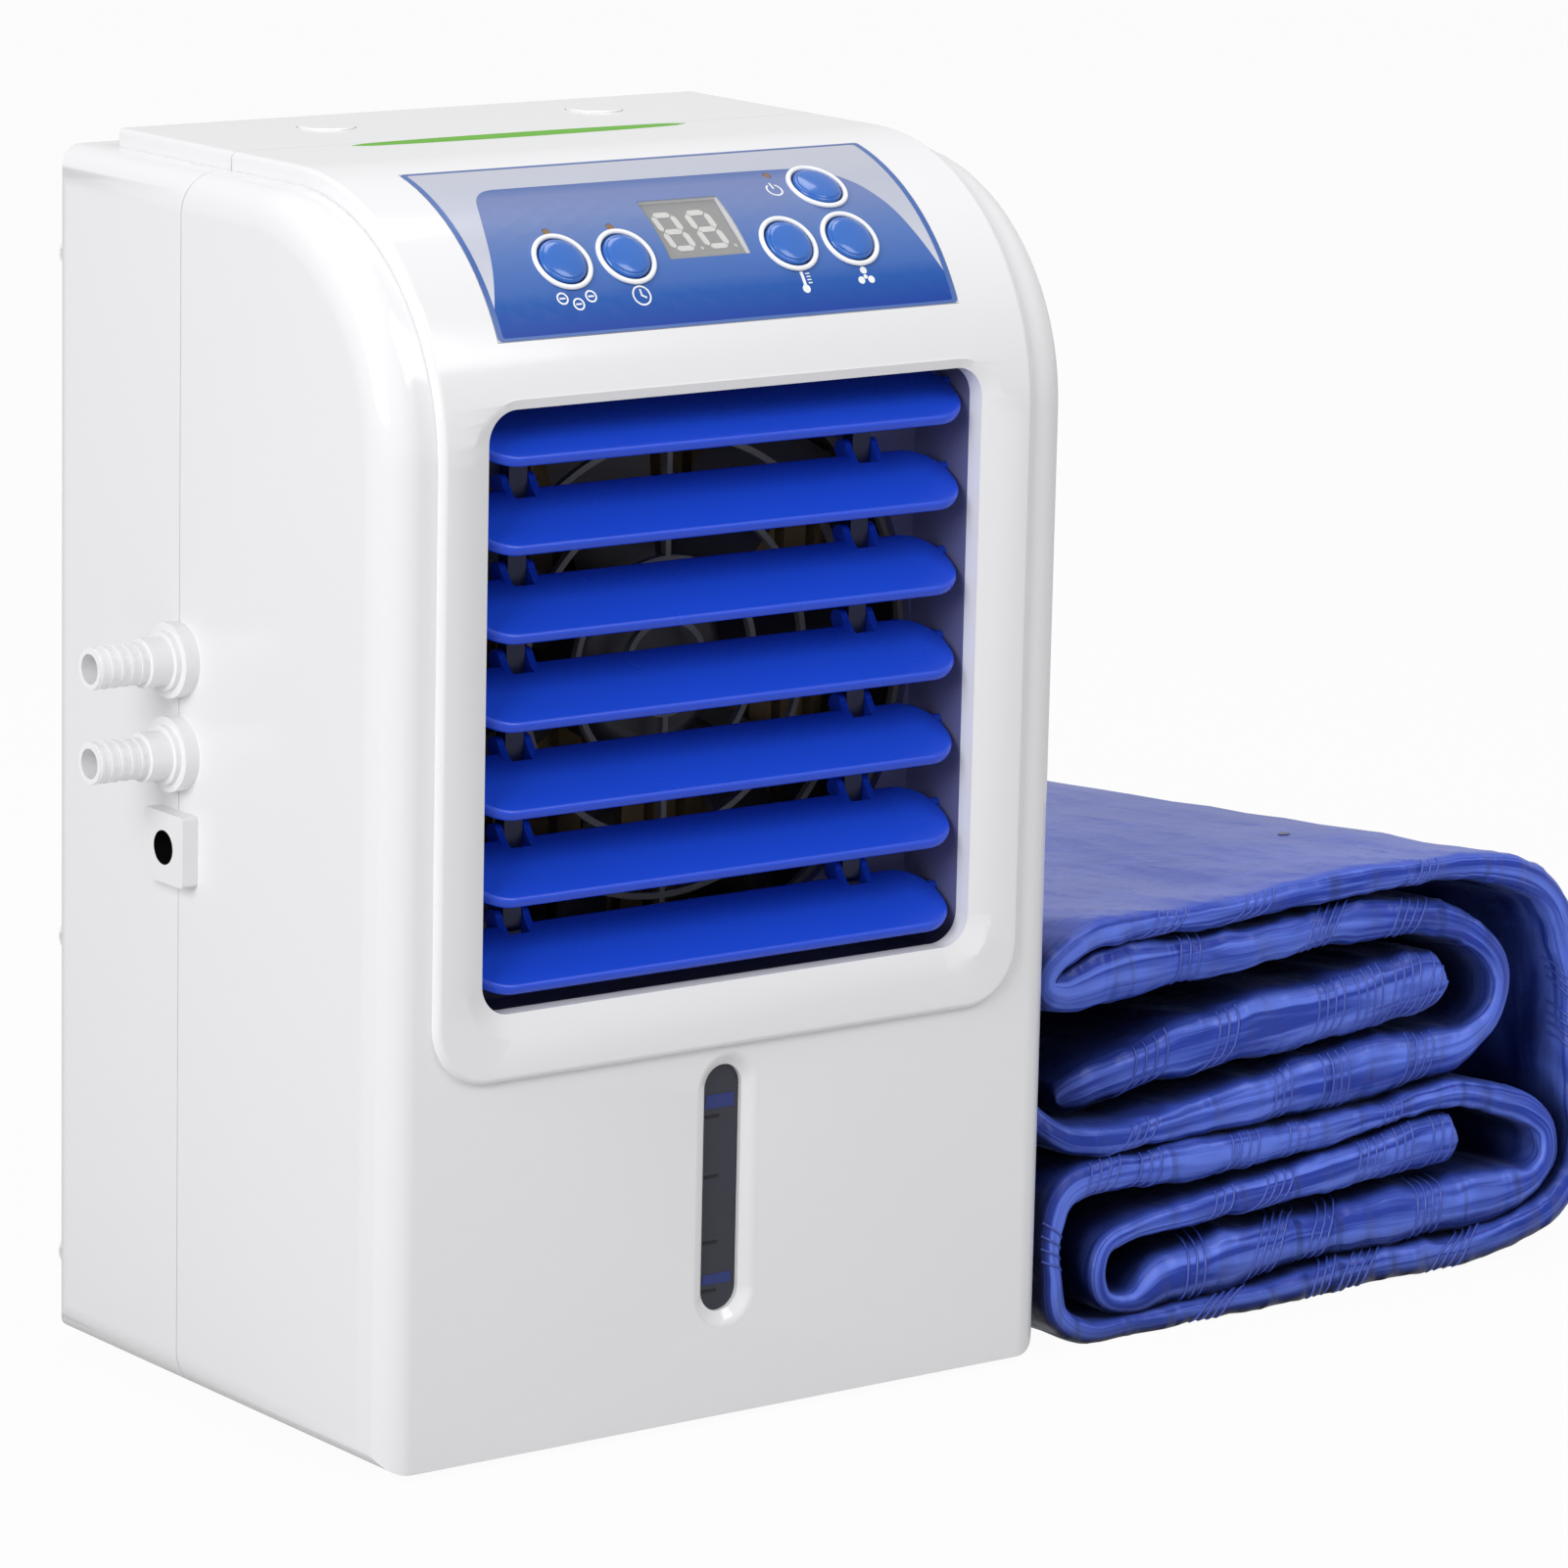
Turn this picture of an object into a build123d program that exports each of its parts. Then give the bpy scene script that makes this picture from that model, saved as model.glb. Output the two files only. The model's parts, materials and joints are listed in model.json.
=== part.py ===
from build123d import *
import os
from math import asin, cos, degrees, radians, sin, sqrt, tan

os.makedirs("parts", exist_ok=True)

# A bedside water cooling unit with a folded mattress pad beside it.
# X runs to the right as seen from the front, -Y is the front and +Z is up.
# The origin is on the floor, under the middle of the cooling unit.

# Cooling unit casing
unit_width = 209.0
unit_depth = 155.0
floor_gap = 2.0
side_top = 312.0
casing_wall = 2.5
front_top_radius = 62.0
back_top_radius = 14.0
front_bottom_radius = 16.0
back_bottom_radius = 24.0
side_edge_radius = 10.0
seam_gap = 0.3
over = 1.0

# Raised band that runs from the louvre surround over the top
band_side_inset = 14.5
band_bottom = 98.0
band_back_inset = 9.5
band_rise_front = 2.0
band_rise_top = 4.5
band_radius = 66.0
band_corner_radius = 16.0
band_edge_radius = 1.8

# Air outlet in the front
outlet_fan_inset = 5.0
outlet_height = 149.0
outlet_bottom = 114.5
outlet_corner_radius = 8.0
outlet_bevel = 6.5
outlet_lip_depth = 5.0
outlet_lip_wall = 2.5
outlet_cut_depth = 12.0
lip_root = 1.2

# Louvres
louver_count = 7
louver_pitch = 21.75
louver_tilt = 30.0
louver_front = 15.0
louver_rear = 7.0
louver_thickness = 3.0
louver_end_gap = 0.8
louver_corner = 10.5
louver_edge_radius = 1.1
louver_pivot_inset = 17.0
louver_lowest_rise = 12.4
pivot_pin_radius = 1.5
pivot_pin_length = 4.2
pivot_clearance = 0.06
lug_offset_x = 52.5
lug_back = 9.4
lug_up = 1.2
lug_pin_radius = 1.0
lug_ear_thickness = 2.0
lug_ear_radius = 2.4
lug_side_gap = 0.4
lug_notch_start = 3.0
tie_bar_width = 5.4
tie_bar_depth = 4.0
tie_bar_corner = 1.8
tie_bar_end = 3.6
tie_hole_clearance = 0.3

# Louvre frame, the short duct behind the outlet
louver_frame_wall = 4.0
louver_frame_head_room = 6.5
louver_frame_foot_room = 3.5
louver_frame_depth = 24.5

# Fan
fan_frame_size = 160.0
fan_frame_depth = 28.0
fan_rim = 5.0
fan_tip_gap = 3.0
fan_corner_radius = 8.0
fan_hub_radius = 23.0
fan_hub_length = 18.0
fan_hub_corner = 5.0
fan_blade_count = 7
fan_blade_thickness = 1.8
fan_blade_root_chord = 20.0
fan_blade_tip_chord = 30.0
fan_blade_root_pitch = 48.0
fan_blade_tip_pitch = 30.0
fan_motor_radius = 21.0
fan_motor_length = 6.0
fan_strut_width = 6.0
fan_shaft_radius = 1.5
fan_shaft_clearance = 0.05
fan_rotor_gap = 0.6
fan_strut_thickness = 3.0
fan_strut_count = 3
fan_shaft_end_gap = 0.5
fan_motor_cap = 1.0
fan_screw_end_gap = 0.5
fan_hole_inset = 7.5
fan_screw_radius = 1.9
fan_screw_clearance = 0.3
fan_screw_head_radius = 3.6
fan_screw_head_height = 2.5
fan_screw_pilot_clearance = 0.1
shroud_thickness = 2.5
guard_thickness = 2.0
guard_wire = 1.6
guard_ring_count = 5
guard_inner_radius = 12.0
guard_outer_gap = 1.0
guard_spoke_count = 4

# Control panel on the curved front of the band
panel_half_width = 69.8
panel_low_angle = 25.9
panel_high_angle = 76.1
panel_thickness = 0.5
panel_fit = 0.2
button_row_angle = 43.2
button_outer_x = 43.7
button_inner_x = 24.7
power_angle = 58.9
button_radius = 6.4
button_hole_clearance = 0.45
button_proud = 0.9
button_flange_radius = 7.5
button_flange_thickness = 1.2
button_flange_gap = 0.3
button_stem_radius = 2.0
button_dome = 0.8
button_travel = 0.6
switch_gap = 0.3
switch_size = 6.0
switch_height = 3.4
switch_plunger_radius = 1.2
switch_plunger_height = 1.0
display_angle = 50.0
display_width = 24.0
display_height = 19.0
display_window_thickness = 0.9
display_drop = 1.9
lamp_radius = 1.0
lamp_clearance = 0.15
lamp_places = [(-43.7, 51.4), (-24.7, 51.4), (32.0, 64.2)]
panel_board_distance = 52.0
panel_board_width = 120.0
panel_board_height = 40.0
panel_post_inset = 4.0
panel_post_height = 10.8
panel_cut_depth = 7.5
board_thickness = 1.6

# Water level window
window_width = 11.5
window_height = 64.0
window_centre_z = 60.5
window_bevel = 4.0
window_frame_depth = 6.0
window_frame_wall = 5.5
window_lens_thickness = 2.0
window_lens_margin = 2.0

# Water tank and its cover
tank_side_gap = 16.0
tank_front_gap = 9.0
tank_back_gap = 13.0
tank_wall = 2.0
tank_top = 90.0
tank_front_bottom_radius = 8.0
tank_back_bottom_radius = 14.0
tank_corner_radius = 6.0
tank_cover_thickness = 2.5
tank_cover_margin = 2.0
fill_mouth_half_width = 30.0
fill_mouth_depth = 9.0
hose_hole_clearance = 0.5

# Pump in the tank
pump_offset_x = 10.0
pump_width = 38.0
pump_depth = 34.0
pump_height = 36.0
pump_corner_radius = 4.0
pump_chamber_radius = 12.0
pump_chamber_height = 9.0
pump_cover_thickness = 3.0
pump_inlet_radius = 5.0
pump_axle_height = 18.0
pump_outlet_radius = 3.0
impeller_radius = 11.0
impeller_disc = 1.5
impeller_vane_height = 5.0
impeller_vane_count = 6
impeller_rotor_radius = 5.5
impeller_rotor_length = 14.0
rotor_well_clearance = 0.5
impeller_float = 0.4

# Hose fittings on the left side
supply_z = 167.2
return_z = 191.0
fitting_bore_radius = 3.8
fitting_flange_radius = 9.5
fitting_flange_thickness = 4.0
fitting_collar_radius = 7.5
fitting_collar_thickness = 1.5
fitting_neck_radius = 6.2
fitting_neck_length = 6.0
barb_radius = 5.1
barb_ridge_height = 0.2
barb_length = 14.6
barb_ridge_count = 5
fitting_thread_radius = 6.4
fitting_hole_clearance = 0.3
nut_radius = 9.0
nut_thickness = 4.0
nut_fit = 0.05
fitting_tail_radius = 4.8
fitting_tail_length = 12.0

# Internal hoses
hose_wall = 1.6
hose_fit = 0.1
hose_lane = 8.2
supply_drop_inset = 30.0
return_drop_inset = 52.0
hose_bend_radius = 13.0
return_hose_end_z = 78.0
pump_nozzle_length = 14.0

# Power inlet
jack_z = 143.6
jack_size = 18.0
jack_proud = 4.6
jack_recess_radius = 4.4
jack_recess_depth = 6.0
jack_socket_radius = 2.85
jack_barrel_radius = 7.0
jack_barrel_length = 11.0
jack_pin_radius = 1.05
jack_pin_length = 8.5
jack_fit = 0.2
jack_corner_radius = 1.0

# Wet curtain and its frame
curtain_half_width = 80.0
curtain_fan_gap = 4.0
curtain_depth = 19.5
curtain_frame_wall = 3.0
curtain_top_gap = 19.0
curtain_slot_count = 15
curtain_slot_width = 3.0
curtain_fit = 0.3

# Rear grille and dust filter
grille_half_width = 79.0
grille_bottom = 128.0
grille_top_gap = 26.0
grille_thickness = 4.0
grille_border = 9.0
grille_slat_count = 13
grille_slat_height = 4.0
grille_fit = 0.6
cover_bottom_flat = 0.05
grille_ledge = 5.0
grille_rib_width = 6.0
grille_pin_radius = 1.2
grille_pin_length = 1.8
grille_pin_clearance = 0.06
filter_border = 6.0
filter_depth = 3.0
filter_net = 0.8
filter_fit = 0.4
filter_column_count = 12
filter_row_count = 12
filter_bar = 2.2

# Fill door in the back
door_half_width = 36.0
door_bottom = 94.5
door_top = 121.5
door_thickness = 4.0
door_notch_radius = 9.0
door_notch_depth = 1.2
door_fit = 0.6
door_ledge = 4.0
rear_cut_depth = 15.0
chute_wall = 1.8
chute_overlap = 2.0
chute_rise = 4.5
chute_side_height = 12.0

# Main circuit board, ion generator and wires
main_board_width = 90.0
main_board_depth = 46.0
main_board_back_gap = 9.0
main_board_drop = 23.0
board_post_radius = 3.0
board_post_inset = 4.0
post_root = 0.5
board_screw_radius = 1.1
board_screw_head_radius = 2.4
board_screw_head_height = 1.4
board_screw_length = 6.0
board_screw_clearance = 0.1
connector_width = 10.0
connector_depth = 6.0
connector_height = 6.5
relay_width = 18.0
relay_depth = 14.0
relay_x = 16.0
relay_offset_y = 4.0
chip_size = 12.0
chip_x = -14.0
chip_offset_y = 6.0
capacitor_radius = 4.0
capacitor_height = 11.5
capacitor_x = 32.0
capacitor_spacing = 12.0
ion_box_width = 30.0
ion_box_depth = 16.0
ion_box_height = 14.0
ion_box_side_inset = 30.0
ion_box_inset = 2.5
ion_box_corner = 2.5
wire_radius = 1.6
wire_straight = 8.0
wire_lane = 13.8
wire_side_gap = 18.5
wire_low_rise = 12.0
wire_middle_rise = 17.0
wire_high_drop = 29.0
wire_end_lead = 13.0
bend_share = 0.45

# Screws
screw_boss_inset = 4.0
screw_boss_radius = 4.5
screw_boss_heights = [24.0, 108.0, 285.0]
screw_boss_overlap = 18.2
screw_radius = 1.5
screw_head_radius = 3.0
screw_head_height = 2.2
screw_clearance = 0.3
screw_recess_depth = 40.0
screw_grip = 12.0

# Feet and the round plugs in the top
foot_radius = 8.0
foot_recess = 1.0
foot_side_inset = 29.5
foot_front_inset = 33.5
foot_back_inset = 41.5
plug_radius = 7.4
plug_x = 41.5
plug_back_inset = 31.5
plug_depth = 1.6
plug_proud = 0.5

# Folded mattress pad, a long padded strip folded over itself eight times
pad_gap = 2.5
pad_width = 197.5
pad_front_inset = 6.5
pad_depth = 271.0
pad_ply = 10.6
pad_bundle = 21.0
pad_layer_gap = 1.2
pad_inner_left_inset = 17.6
pad_inner_right_inset = 14.1
pad_upper_right_inset = 31.6
pad_bundle_inset = 47.0
pad_bundle_lead = 35.0
pad_corner_radius = 24.0
pad_back_squeeze = 0.81

# Worked out from the sizes above
half_turn = 180.0
half_width = unit_width / 2
front_y = -unit_depth / 2
back_y = unit_depth / 2
band_front_y = front_y - band_rise_front
band_top = side_top + band_rise_top
band_width = unit_width - 2 * band_side_inset
band_back = back_y - band_back_inset
axis_y = band_front_y + band_radius
axis_z = band_top - band_radius
outlet_width = fan_frame_size - 2 * outlet_fan_inset
outlet_top = outlet_bottom + outlet_height
outlet_centre_z = outlet_bottom + outlet_height / 2
lip_back_y = band_front_y + casing_wall + outlet_lip_depth
inner_back_y = back_y - casing_wall
inner_half_width = half_width - casing_wall
inner_floor = floor_gap + casing_wall
band_inner_top = band_top - casing_wall
louver_pivot_y = band_front_y + louver_pivot_inset
louver_frame_back_y = lip_back_y + louver_frame_depth
fan_bore_radius = fan_frame_size / 2 - fan_rim
guard_ring_pitch = (fan_bore_radius - guard_outer_gap - guard_inner_radius) / (guard_ring_count - 1)
guard_ring_radii = [guard_inner_radius + i * guard_ring_pitch for i in range(guard_ring_count)]
guard_front_y = louver_frame_back_y
frame_front_y = guard_front_y + guard_thickness
frame_back_y = frame_front_y + fan_frame_depth
curtain_front_y = frame_back_y + curtain_fan_gap
split_y = curtain_front_y + curtain_depth + hose_lane
fitting_y = split_y
screw_boss_x = inner_half_width - screw_boss_inset
screw_boss_front_y = split_y - screw_boss_overlap
tank_half_width = inner_half_width - tank_side_gap
tank_front_y = front_y + casing_wall + tank_front_gap
tank_back_y = inner_back_y - tank_back_gap
chute_low_y = tank_back_y - chute_overlap
fill_mouth_front_y = chute_low_y - fill_mouth_depth
supply_drop_x = supply_drop_inset - inner_half_width
return_drop_x = return_drop_inset - inner_half_width
pump_x = supply_drop_x + pump_offset_x
ion_box_x = fan_frame_size / 2 - ion_box_side_inset
main_board_y = inner_back_y - main_board_back_gap - main_board_depth / 2
main_board_z = band_inner_top - main_board_drop
curtain_top = main_board_z - curtain_top_gap
grille_top = side_top - grille_top_gap
foot_x = half_width - foot_side_inset
foot_front_y = front_y + foot_front_inset
foot_back_y = back_y - foot_back_inset
plug_y = back_y - plug_back_inset
pad_left = half_width + pad_gap
pad_right = pad_left + pad_width
pad_front_y = front_y + pad_front_inset


def side_outline(front, back, bottom, top, front_top, back_top, front_bottom, back_bottom):
    """Side view of a casing, drawn in the current sketch with a radius at each corner."""
    with Locations(((front + back) / 2, (bottom + top) / 2)):
        face = Rectangle(back - front, top - bottom)
    corners = face.vertices()
    for side, level, radius in (
        (0, -1, front_top),
        (-1, -1, back_top),
        (0, 0, front_bottom),
        (-1, 0, back_bottom),
    ):
        if radius > 0:
            column = corners.group_by(Axis.X)[side].sort_by(Axis.Y)
            fillet(column[level], radius)


def panel_plane(x, angle, distance):
    """Plane square to the curved panel, at a distance from the axis of its curve."""
    out = (0, -cos(radians(angle)), sin(radians(angle)))
    origin = (x, axis_y + distance * out[1], axis_z + distance * out[2])
    return Plane(origin=origin, x_dir=(1, 0, 0), z_dir=out)


def curved_sheet(inner, outer, low, high):
    """Section of a sheet that follows the panel's curve."""
    with BuildSketch(Plane.YZ) as section:
        with BuildLine():
            arc_out = CenterArc((axis_y, axis_z), outer, half_turn - high, high - low)
            arc_in = CenterArc((axis_y, axis_z), inner, half_turn - high, high - low)
            Line(arc_out @ 0, arc_in @ 0)
            Line(arc_out @ 1, arc_in @ 1)
        make_face()
    return section.sketch


def along_y(y):
    """Plane at a depth y, facing the front, with X to the right and Z up."""
    return Plane.XZ.offset(-y)


def along_x(x):
    """Plane at a width x, with Y across and Z up."""
    return Plane.YZ.offset(x)


# Casing: outer block, raised band and the hollow inside them
with BuildPart() as casing_block:
    with BuildSketch(Plane.YZ):
        side_outline(
            front_y, back_y, floor_gap, side_top,
            front_top_radius, back_top_radius, front_bottom_radius, back_bottom_radius,
        )
    extrude(amount=half_width, both=True)
    fillet(casing_block.faces().filter_by(Axis.X).edges(), side_edge_radius)

with BuildPart() as band_block:
    with BuildSketch(Plane.YZ):
        side_outline(
            band_front_y, band_back, band_bottom, band_top, band_radius, back_top_radius, 0, 0,
        )
    extrude(amount=band_width / 2, both=True)
    fillet(band_block.edges().filter_by(Axis.Y).group_by(Axis.Z)[0], band_corner_radius)
    front_rim = band_block.faces().sort_by(Axis.Y)[0].edges()
    side_rims = band_block.faces().filter_by(Axis.X).edges()
    front_rim = front_rim.filter_by(Axis.Z, reverse=True).sort_by(Axis.Z)[:-1]
    fillet(front_rim + side_rims, band_edge_radius)

with BuildPart() as casing_hollow:
    with BuildSketch(Plane.YZ):
        side_outline(
            front_y + casing_wall, inner_back_y, inner_floor, side_top - casing_wall,
            front_top_radius - casing_wall, back_top_radius - casing_wall,
            front_bottom_radius - casing_wall, back_bottom_radius - casing_wall,
        )
    extrude(amount=inner_half_width, both=True)
    fillet(casing_hollow.faces().filter_by(Axis.X).edges(), side_edge_radius - casing_wall)

with BuildPart() as band_hollow:
    with BuildSketch(Plane.YZ):
        side_outline(
            band_front_y + casing_wall, band_back - casing_wall,
            band_bottom + casing_wall, band_inner_top,
            band_radius - casing_wall, back_top_radius - casing_wall, 0, 0,
        )
    extrude(amount=band_width / 2 - casing_wall, both=True)
    fillet(band_hollow.edges().filter_by(Axis.Y).group_by(Axis.Z)[0], band_corner_radius - casing_wall)

buttons = {
    "button_ion": (-button_outer_x, button_row_angle),
    "button_timer": (-button_inner_x, button_row_angle),
    "button_thermostat": (button_inner_x, button_row_angle),
    "button_fan_speed": (button_outer_x, button_row_angle),
    "button_power": (button_outer_x, power_angle),
}
boss_places = [(side * screw_boss_x, z) for side in (-1, 1) for z in screw_boss_heights]
foot_places = [(side * foot_x, y) for side in (-1, 1) for y in (foot_front_y, foot_back_y)]
post_places = [
    (
        side * (main_board_width / 2 - board_post_inset),
        main_board_y + end * (main_board_depth / 2 - board_post_inset),
    )
    for side in (-1, 1)
    for end in (-1, 1)
]
panel_post_places = [
    (
        side * (panel_board_width / 2 - panel_post_inset),
        end * (panel_board_height / 2 - panel_post_inset),
    )
    for side in (-1, 1)
    for end in (-1, 1)
]
fitting_heights = [supply_z, return_z]
grille_pin_y = back_y - grille_thickness / 2
grille_pin_z = grille_bottom + grille_thickness / 2
door_pin_y = back_y - door_thickness / 2
door_pin_z = door_bottom + door_thickness / 2
panel_recess_radius = band_radius - panel_thickness
lip_front_y = band_front_y + casing_wall
window_back_y = front_y + window_frame_depth

with BuildPart() as casing:
    add(casing_block.part)
    add(band_block.part)
    add(casing_hollow.part, mode=Mode.SUBTRACT)
    add(band_hollow.part, mode=Mode.SUBTRACT)
    # Lip round the air outlet
    with BuildSketch(along_y(lip_back_y)):
        with Locations((0, outlet_centre_z)):
            RectangleRounded(
                outlet_width + 2 * outlet_lip_wall,
                outlet_height + 2 * outlet_lip_wall,
                outlet_corner_radius + outlet_lip_wall,
            )
    extrude(amount=outlet_lip_depth + lip_root)
    # Frame behind the level window
    with BuildSketch(along_y(window_back_y)):
        with Locations((0, window_centre_z)):
            SlotOverall(
                window_height + 2 * window_frame_wall, window_width + 2 * window_frame_wall, rotation=90
            )
    extrude(amount=window_frame_depth - casing_wall / 2)
    # Screw columns, from the back wall to a little in front of the seam
    with BuildSketch(along_y(inner_back_y)):
        with Locations(*boss_places):
            Circle(screw_boss_radius)
    extrude(amount=inner_back_y - screw_boss_front_y)
    # Posts that hang from the roof and carry the main board
    with BuildSketch(Plane.XY.offset(main_board_z + board_thickness)):
        with Locations(*post_places):
            Circle(board_post_radius)
    extrude(amount=band_inner_top - main_board_z - board_thickness + post_root)
    # Posts that carry the panel board behind the curved panel
    with BuildSketch(panel_plane(0, display_angle, panel_board_distance)):
        with Locations(*panel_post_places):
            Circle(board_post_radius)
    extrude(amount=panel_post_height)
    # Ledges round the rear openings
    with BuildSketch(along_y(inner_back_y)):
        with Locations((0, (grille_bottom + grille_top) / 2)):
            Rectangle(
                2 * (grille_half_width + grille_ledge), grille_top - grille_bottom + 2 * grille_ledge
            )
        with Locations((0, (door_bottom + door_top) / 2)):
            Rectangle(2 * (door_half_width + door_ledge), door_top - door_bottom + 2 * door_ledge)
    extrude(amount=grille_ledge)
    # Air outlet with its bevel
    with BuildSketch(along_y(lip_back_y)):
        with Locations((0, outlet_centre_z)):
            RectangleRounded(outlet_width, outlet_height, outlet_corner_radius)
    extrude(amount=outlet_cut_depth, mode=Mode.SUBTRACT)
    with BuildSketch(along_y(lip_front_y)):
        with Locations((0, outlet_centre_z)):
            RectangleRounded(outlet_width, outlet_height, outlet_corner_radius)
    with BuildSketch(along_y(band_front_y - casing_wall)):
        with Locations((0, outlet_centre_z)):
            RectangleRounded(
                outlet_width + 4 * outlet_bevel,
                outlet_height + 4 * outlet_bevel,
                outlet_corner_radius + 2 * outlet_bevel,
            )
    loft(mode=Mode.SUBTRACT)
    # Level window slot with its bevel
    with BuildSketch(along_y(window_back_y)):
        with Locations((0, window_centre_z)):
            SlotOverall(window_height, window_width, rotation=90)
    extrude(amount=2 * window_frame_depth, mode=Mode.SUBTRACT)
    with BuildSketch(along_y(window_back_y - window_lens_thickness - casing_wall / 2)):
        with Locations((0, window_centre_z)):
            SlotOverall(window_height, window_width, rotation=90)
    with BuildSketch(along_y(front_y)):
        with Locations((0, window_centre_z)):
            SlotOverall(window_height + 2 * window_bevel, window_width + 2 * window_bevel, rotation=90)
    loft(mode=Mode.SUBTRACT)
    # Seat of the window lens
    with BuildSketch(along_y(window_back_y)):
        with Locations((0, window_centre_z)):
            SlotOverall(
                window_height + 2 * window_lens_margin, window_width + 2 * window_lens_margin, rotation=90
            )
    extrude(amount=window_lens_thickness, mode=Mode.SUBTRACT)
    # Recess for the panel overlay
    recess = curved_sheet(
        panel_recess_radius, band_radius + over, panel_low_angle - panel_fit, panel_high_angle + panel_fit
    )
    extrude(recess, amount=panel_half_width + panel_fit, both=True, mode=Mode.SUBTRACT)
    # Holes for the buttons, the display and the lamps
    for x, angle in buttons.values():
        with BuildSketch(panel_plane(x, angle, panel_recess_radius + over)):
            Circle(button_radius + button_hole_clearance)
        extrude(amount=-panel_cut_depth, mode=Mode.SUBTRACT)
    with BuildSketch(panel_plane(0, display_angle, panel_recess_radius + over)):
        Rectangle(display_width + 2 * panel_fit, display_height + 2 * panel_fit)
    extrude(amount=-panel_cut_depth, mode=Mode.SUBTRACT)
    for x, angle in lamp_places:
        with BuildSketch(panel_plane(x, angle, panel_recess_radius + over)):
            Circle(lamp_radius + lamp_clearance)
        extrude(amount=-panel_cut_depth, mode=Mode.SUBTRACT)
    # Holes for the hose fittings and the power inlet
    with BuildSketch(along_x(-half_width - over)):
        with Locations(*[(fitting_y, z) for z in fitting_heights]):
            Circle(fitting_thread_radius + fitting_hole_clearance)
        with Locations((fitting_y, jack_z)):
            Circle(jack_barrel_radius + jack_fit)
    extrude(amount=casing_wall + 2 * over, mode=Mode.SUBTRACT)
    # Rear openings, each with a recess for its cover and holes for its hinge pins
    with BuildSketch(along_y(back_y + over)):
        with Locations((0, (grille_bottom + grille_top) / 2)):
            Rectangle(
                2 * (grille_half_width + grille_fit), grille_top - grille_bottom + 2 * grille_fit
            )
    extrude(amount=grille_thickness + grille_fit / 2 + over, mode=Mode.SUBTRACT)
    with BuildSketch(along_y(back_y + over)):
        with Locations((0, (door_bottom + door_top) / 2)):
            Rectangle(2 * (door_half_width + door_fit), door_top - door_bottom + 2 * door_fit)
    extrude(amount=door_thickness + door_fit / 2 + over, mode=Mode.SUBTRACT)
    for cover_half_width, pin_y, pin_z in (
        (grille_half_width, grille_pin_y, grille_pin_z),
        (door_half_width, door_pin_y, door_pin_z),
    ):
        with BuildSketch(Plane.YZ):
            with Locations((pin_y, pin_z)):
                Circle(grille_pin_radius + grille_pin_clearance)
        extrude(amount=cover_half_width + 2 * grille_pin_length, both=True, mode=Mode.SUBTRACT)
    with BuildSketch(along_y(back_y)):
        with Locations((0, (grille_bottom + grille_top) / 2)):
            Rectangle(
                2 * (grille_half_width - grille_ledge), grille_top - grille_bottom - 2 * grille_ledge
            )
        with Locations((0, (door_bottom + door_top) / 2)):
            Rectangle(2 * (door_half_width - door_ledge), door_top - door_bottom - 2 * door_ledge)
    extrude(amount=rear_cut_depth, mode=Mode.SUBTRACT)
    # Screw holes, with deep recesses for the heads from the back
    with BuildSketch(along_y(back_y + over)):
        with Locations(*boss_places):
            Circle(screw_head_radius + screw_clearance)
    extrude(amount=screw_recess_depth + over, mode=Mode.SUBTRACT)
    with BuildSketch(along_y(back_y)):
        with Locations(*boss_places):
            Circle(screw_radius + screw_clearance)
    extrude(amount=back_y - split_y + screw_grip + over, mode=Mode.SUBTRACT)
    # Pilot holes in the board posts
    with BuildSketch(Plane.XY.offset(main_board_z)):
        with Locations(*post_places):
            Circle(board_screw_radius + board_screw_clearance)
    extrude(amount=board_thickness + board_screw_length + over, mode=Mode.SUBTRACT)
    with BuildSketch(panel_plane(0, display_angle, panel_board_distance)):
        with Locations(*panel_post_places):
            Circle(board_screw_radius + board_screw_clearance)
    extrude(amount=board_screw_length + over, mode=Mode.SUBTRACT)
    # Seats for the feet and for the round plugs
    with BuildSketch(Plane.XY.offset(floor_gap - over)):
        with Locations(*foot_places):
            Circle(foot_radius + panel_fit)
    extrude(amount=foot_recess + over, mode=Mode.SUBTRACT)
    with BuildSketch(Plane.XY.offset(band_top - plug_depth)):
        with Locations((-plug_x, plug_y), (plug_x, plug_y)):
            Circle(plug_radius + panel_fit)
    extrude(amount=plug_depth + over, mode=Mode.SUBTRACT)

with BuildPart() as front_shell:
    add(casing.part)
    split(bisect_by=along_y(split_y), keep=Keep.TOP)
front_shell.part.label = "front_shell"
export_step(front_shell.part, "parts/front_shell.step")

with BuildPart() as rear_shell:
    add(casing.part)
    split(bisect_by=along_y(split_y + seam_gap), keep=Keep.BOTTOM)
rear_shell.part.label = "rear_shell"
export_step(rear_shell.part, "parts/rear_shell.step")

# Parts that fill the casing's openings from outside
with BuildPart() as feet:
    with BuildSketch():
        with Locations(*foot_places):
            Circle(foot_radius)
    extrude(amount=floor_gap + foot_recess)
    fillet(feet.edges().group_by(Axis.Z)[0], foot_recess)
feet.part.label = "feet"
export_step(feet.part, "parts/feet.step")

with BuildPart() as top_plugs:
    with BuildSketch(Plane.XY.offset(band_top - plug_depth)):
        with Locations((-plug_x, plug_y), (plug_x, plug_y)):
            Circle(plug_radius)
    extrude(amount=plug_depth + plug_proud)
    fillet(top_plugs.edges().group_by(Axis.Z)[-1], plug_proud)
top_plugs.part.label = "top_plugs"
export_step(top_plugs.part, "parts/top_plugs.step")

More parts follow.
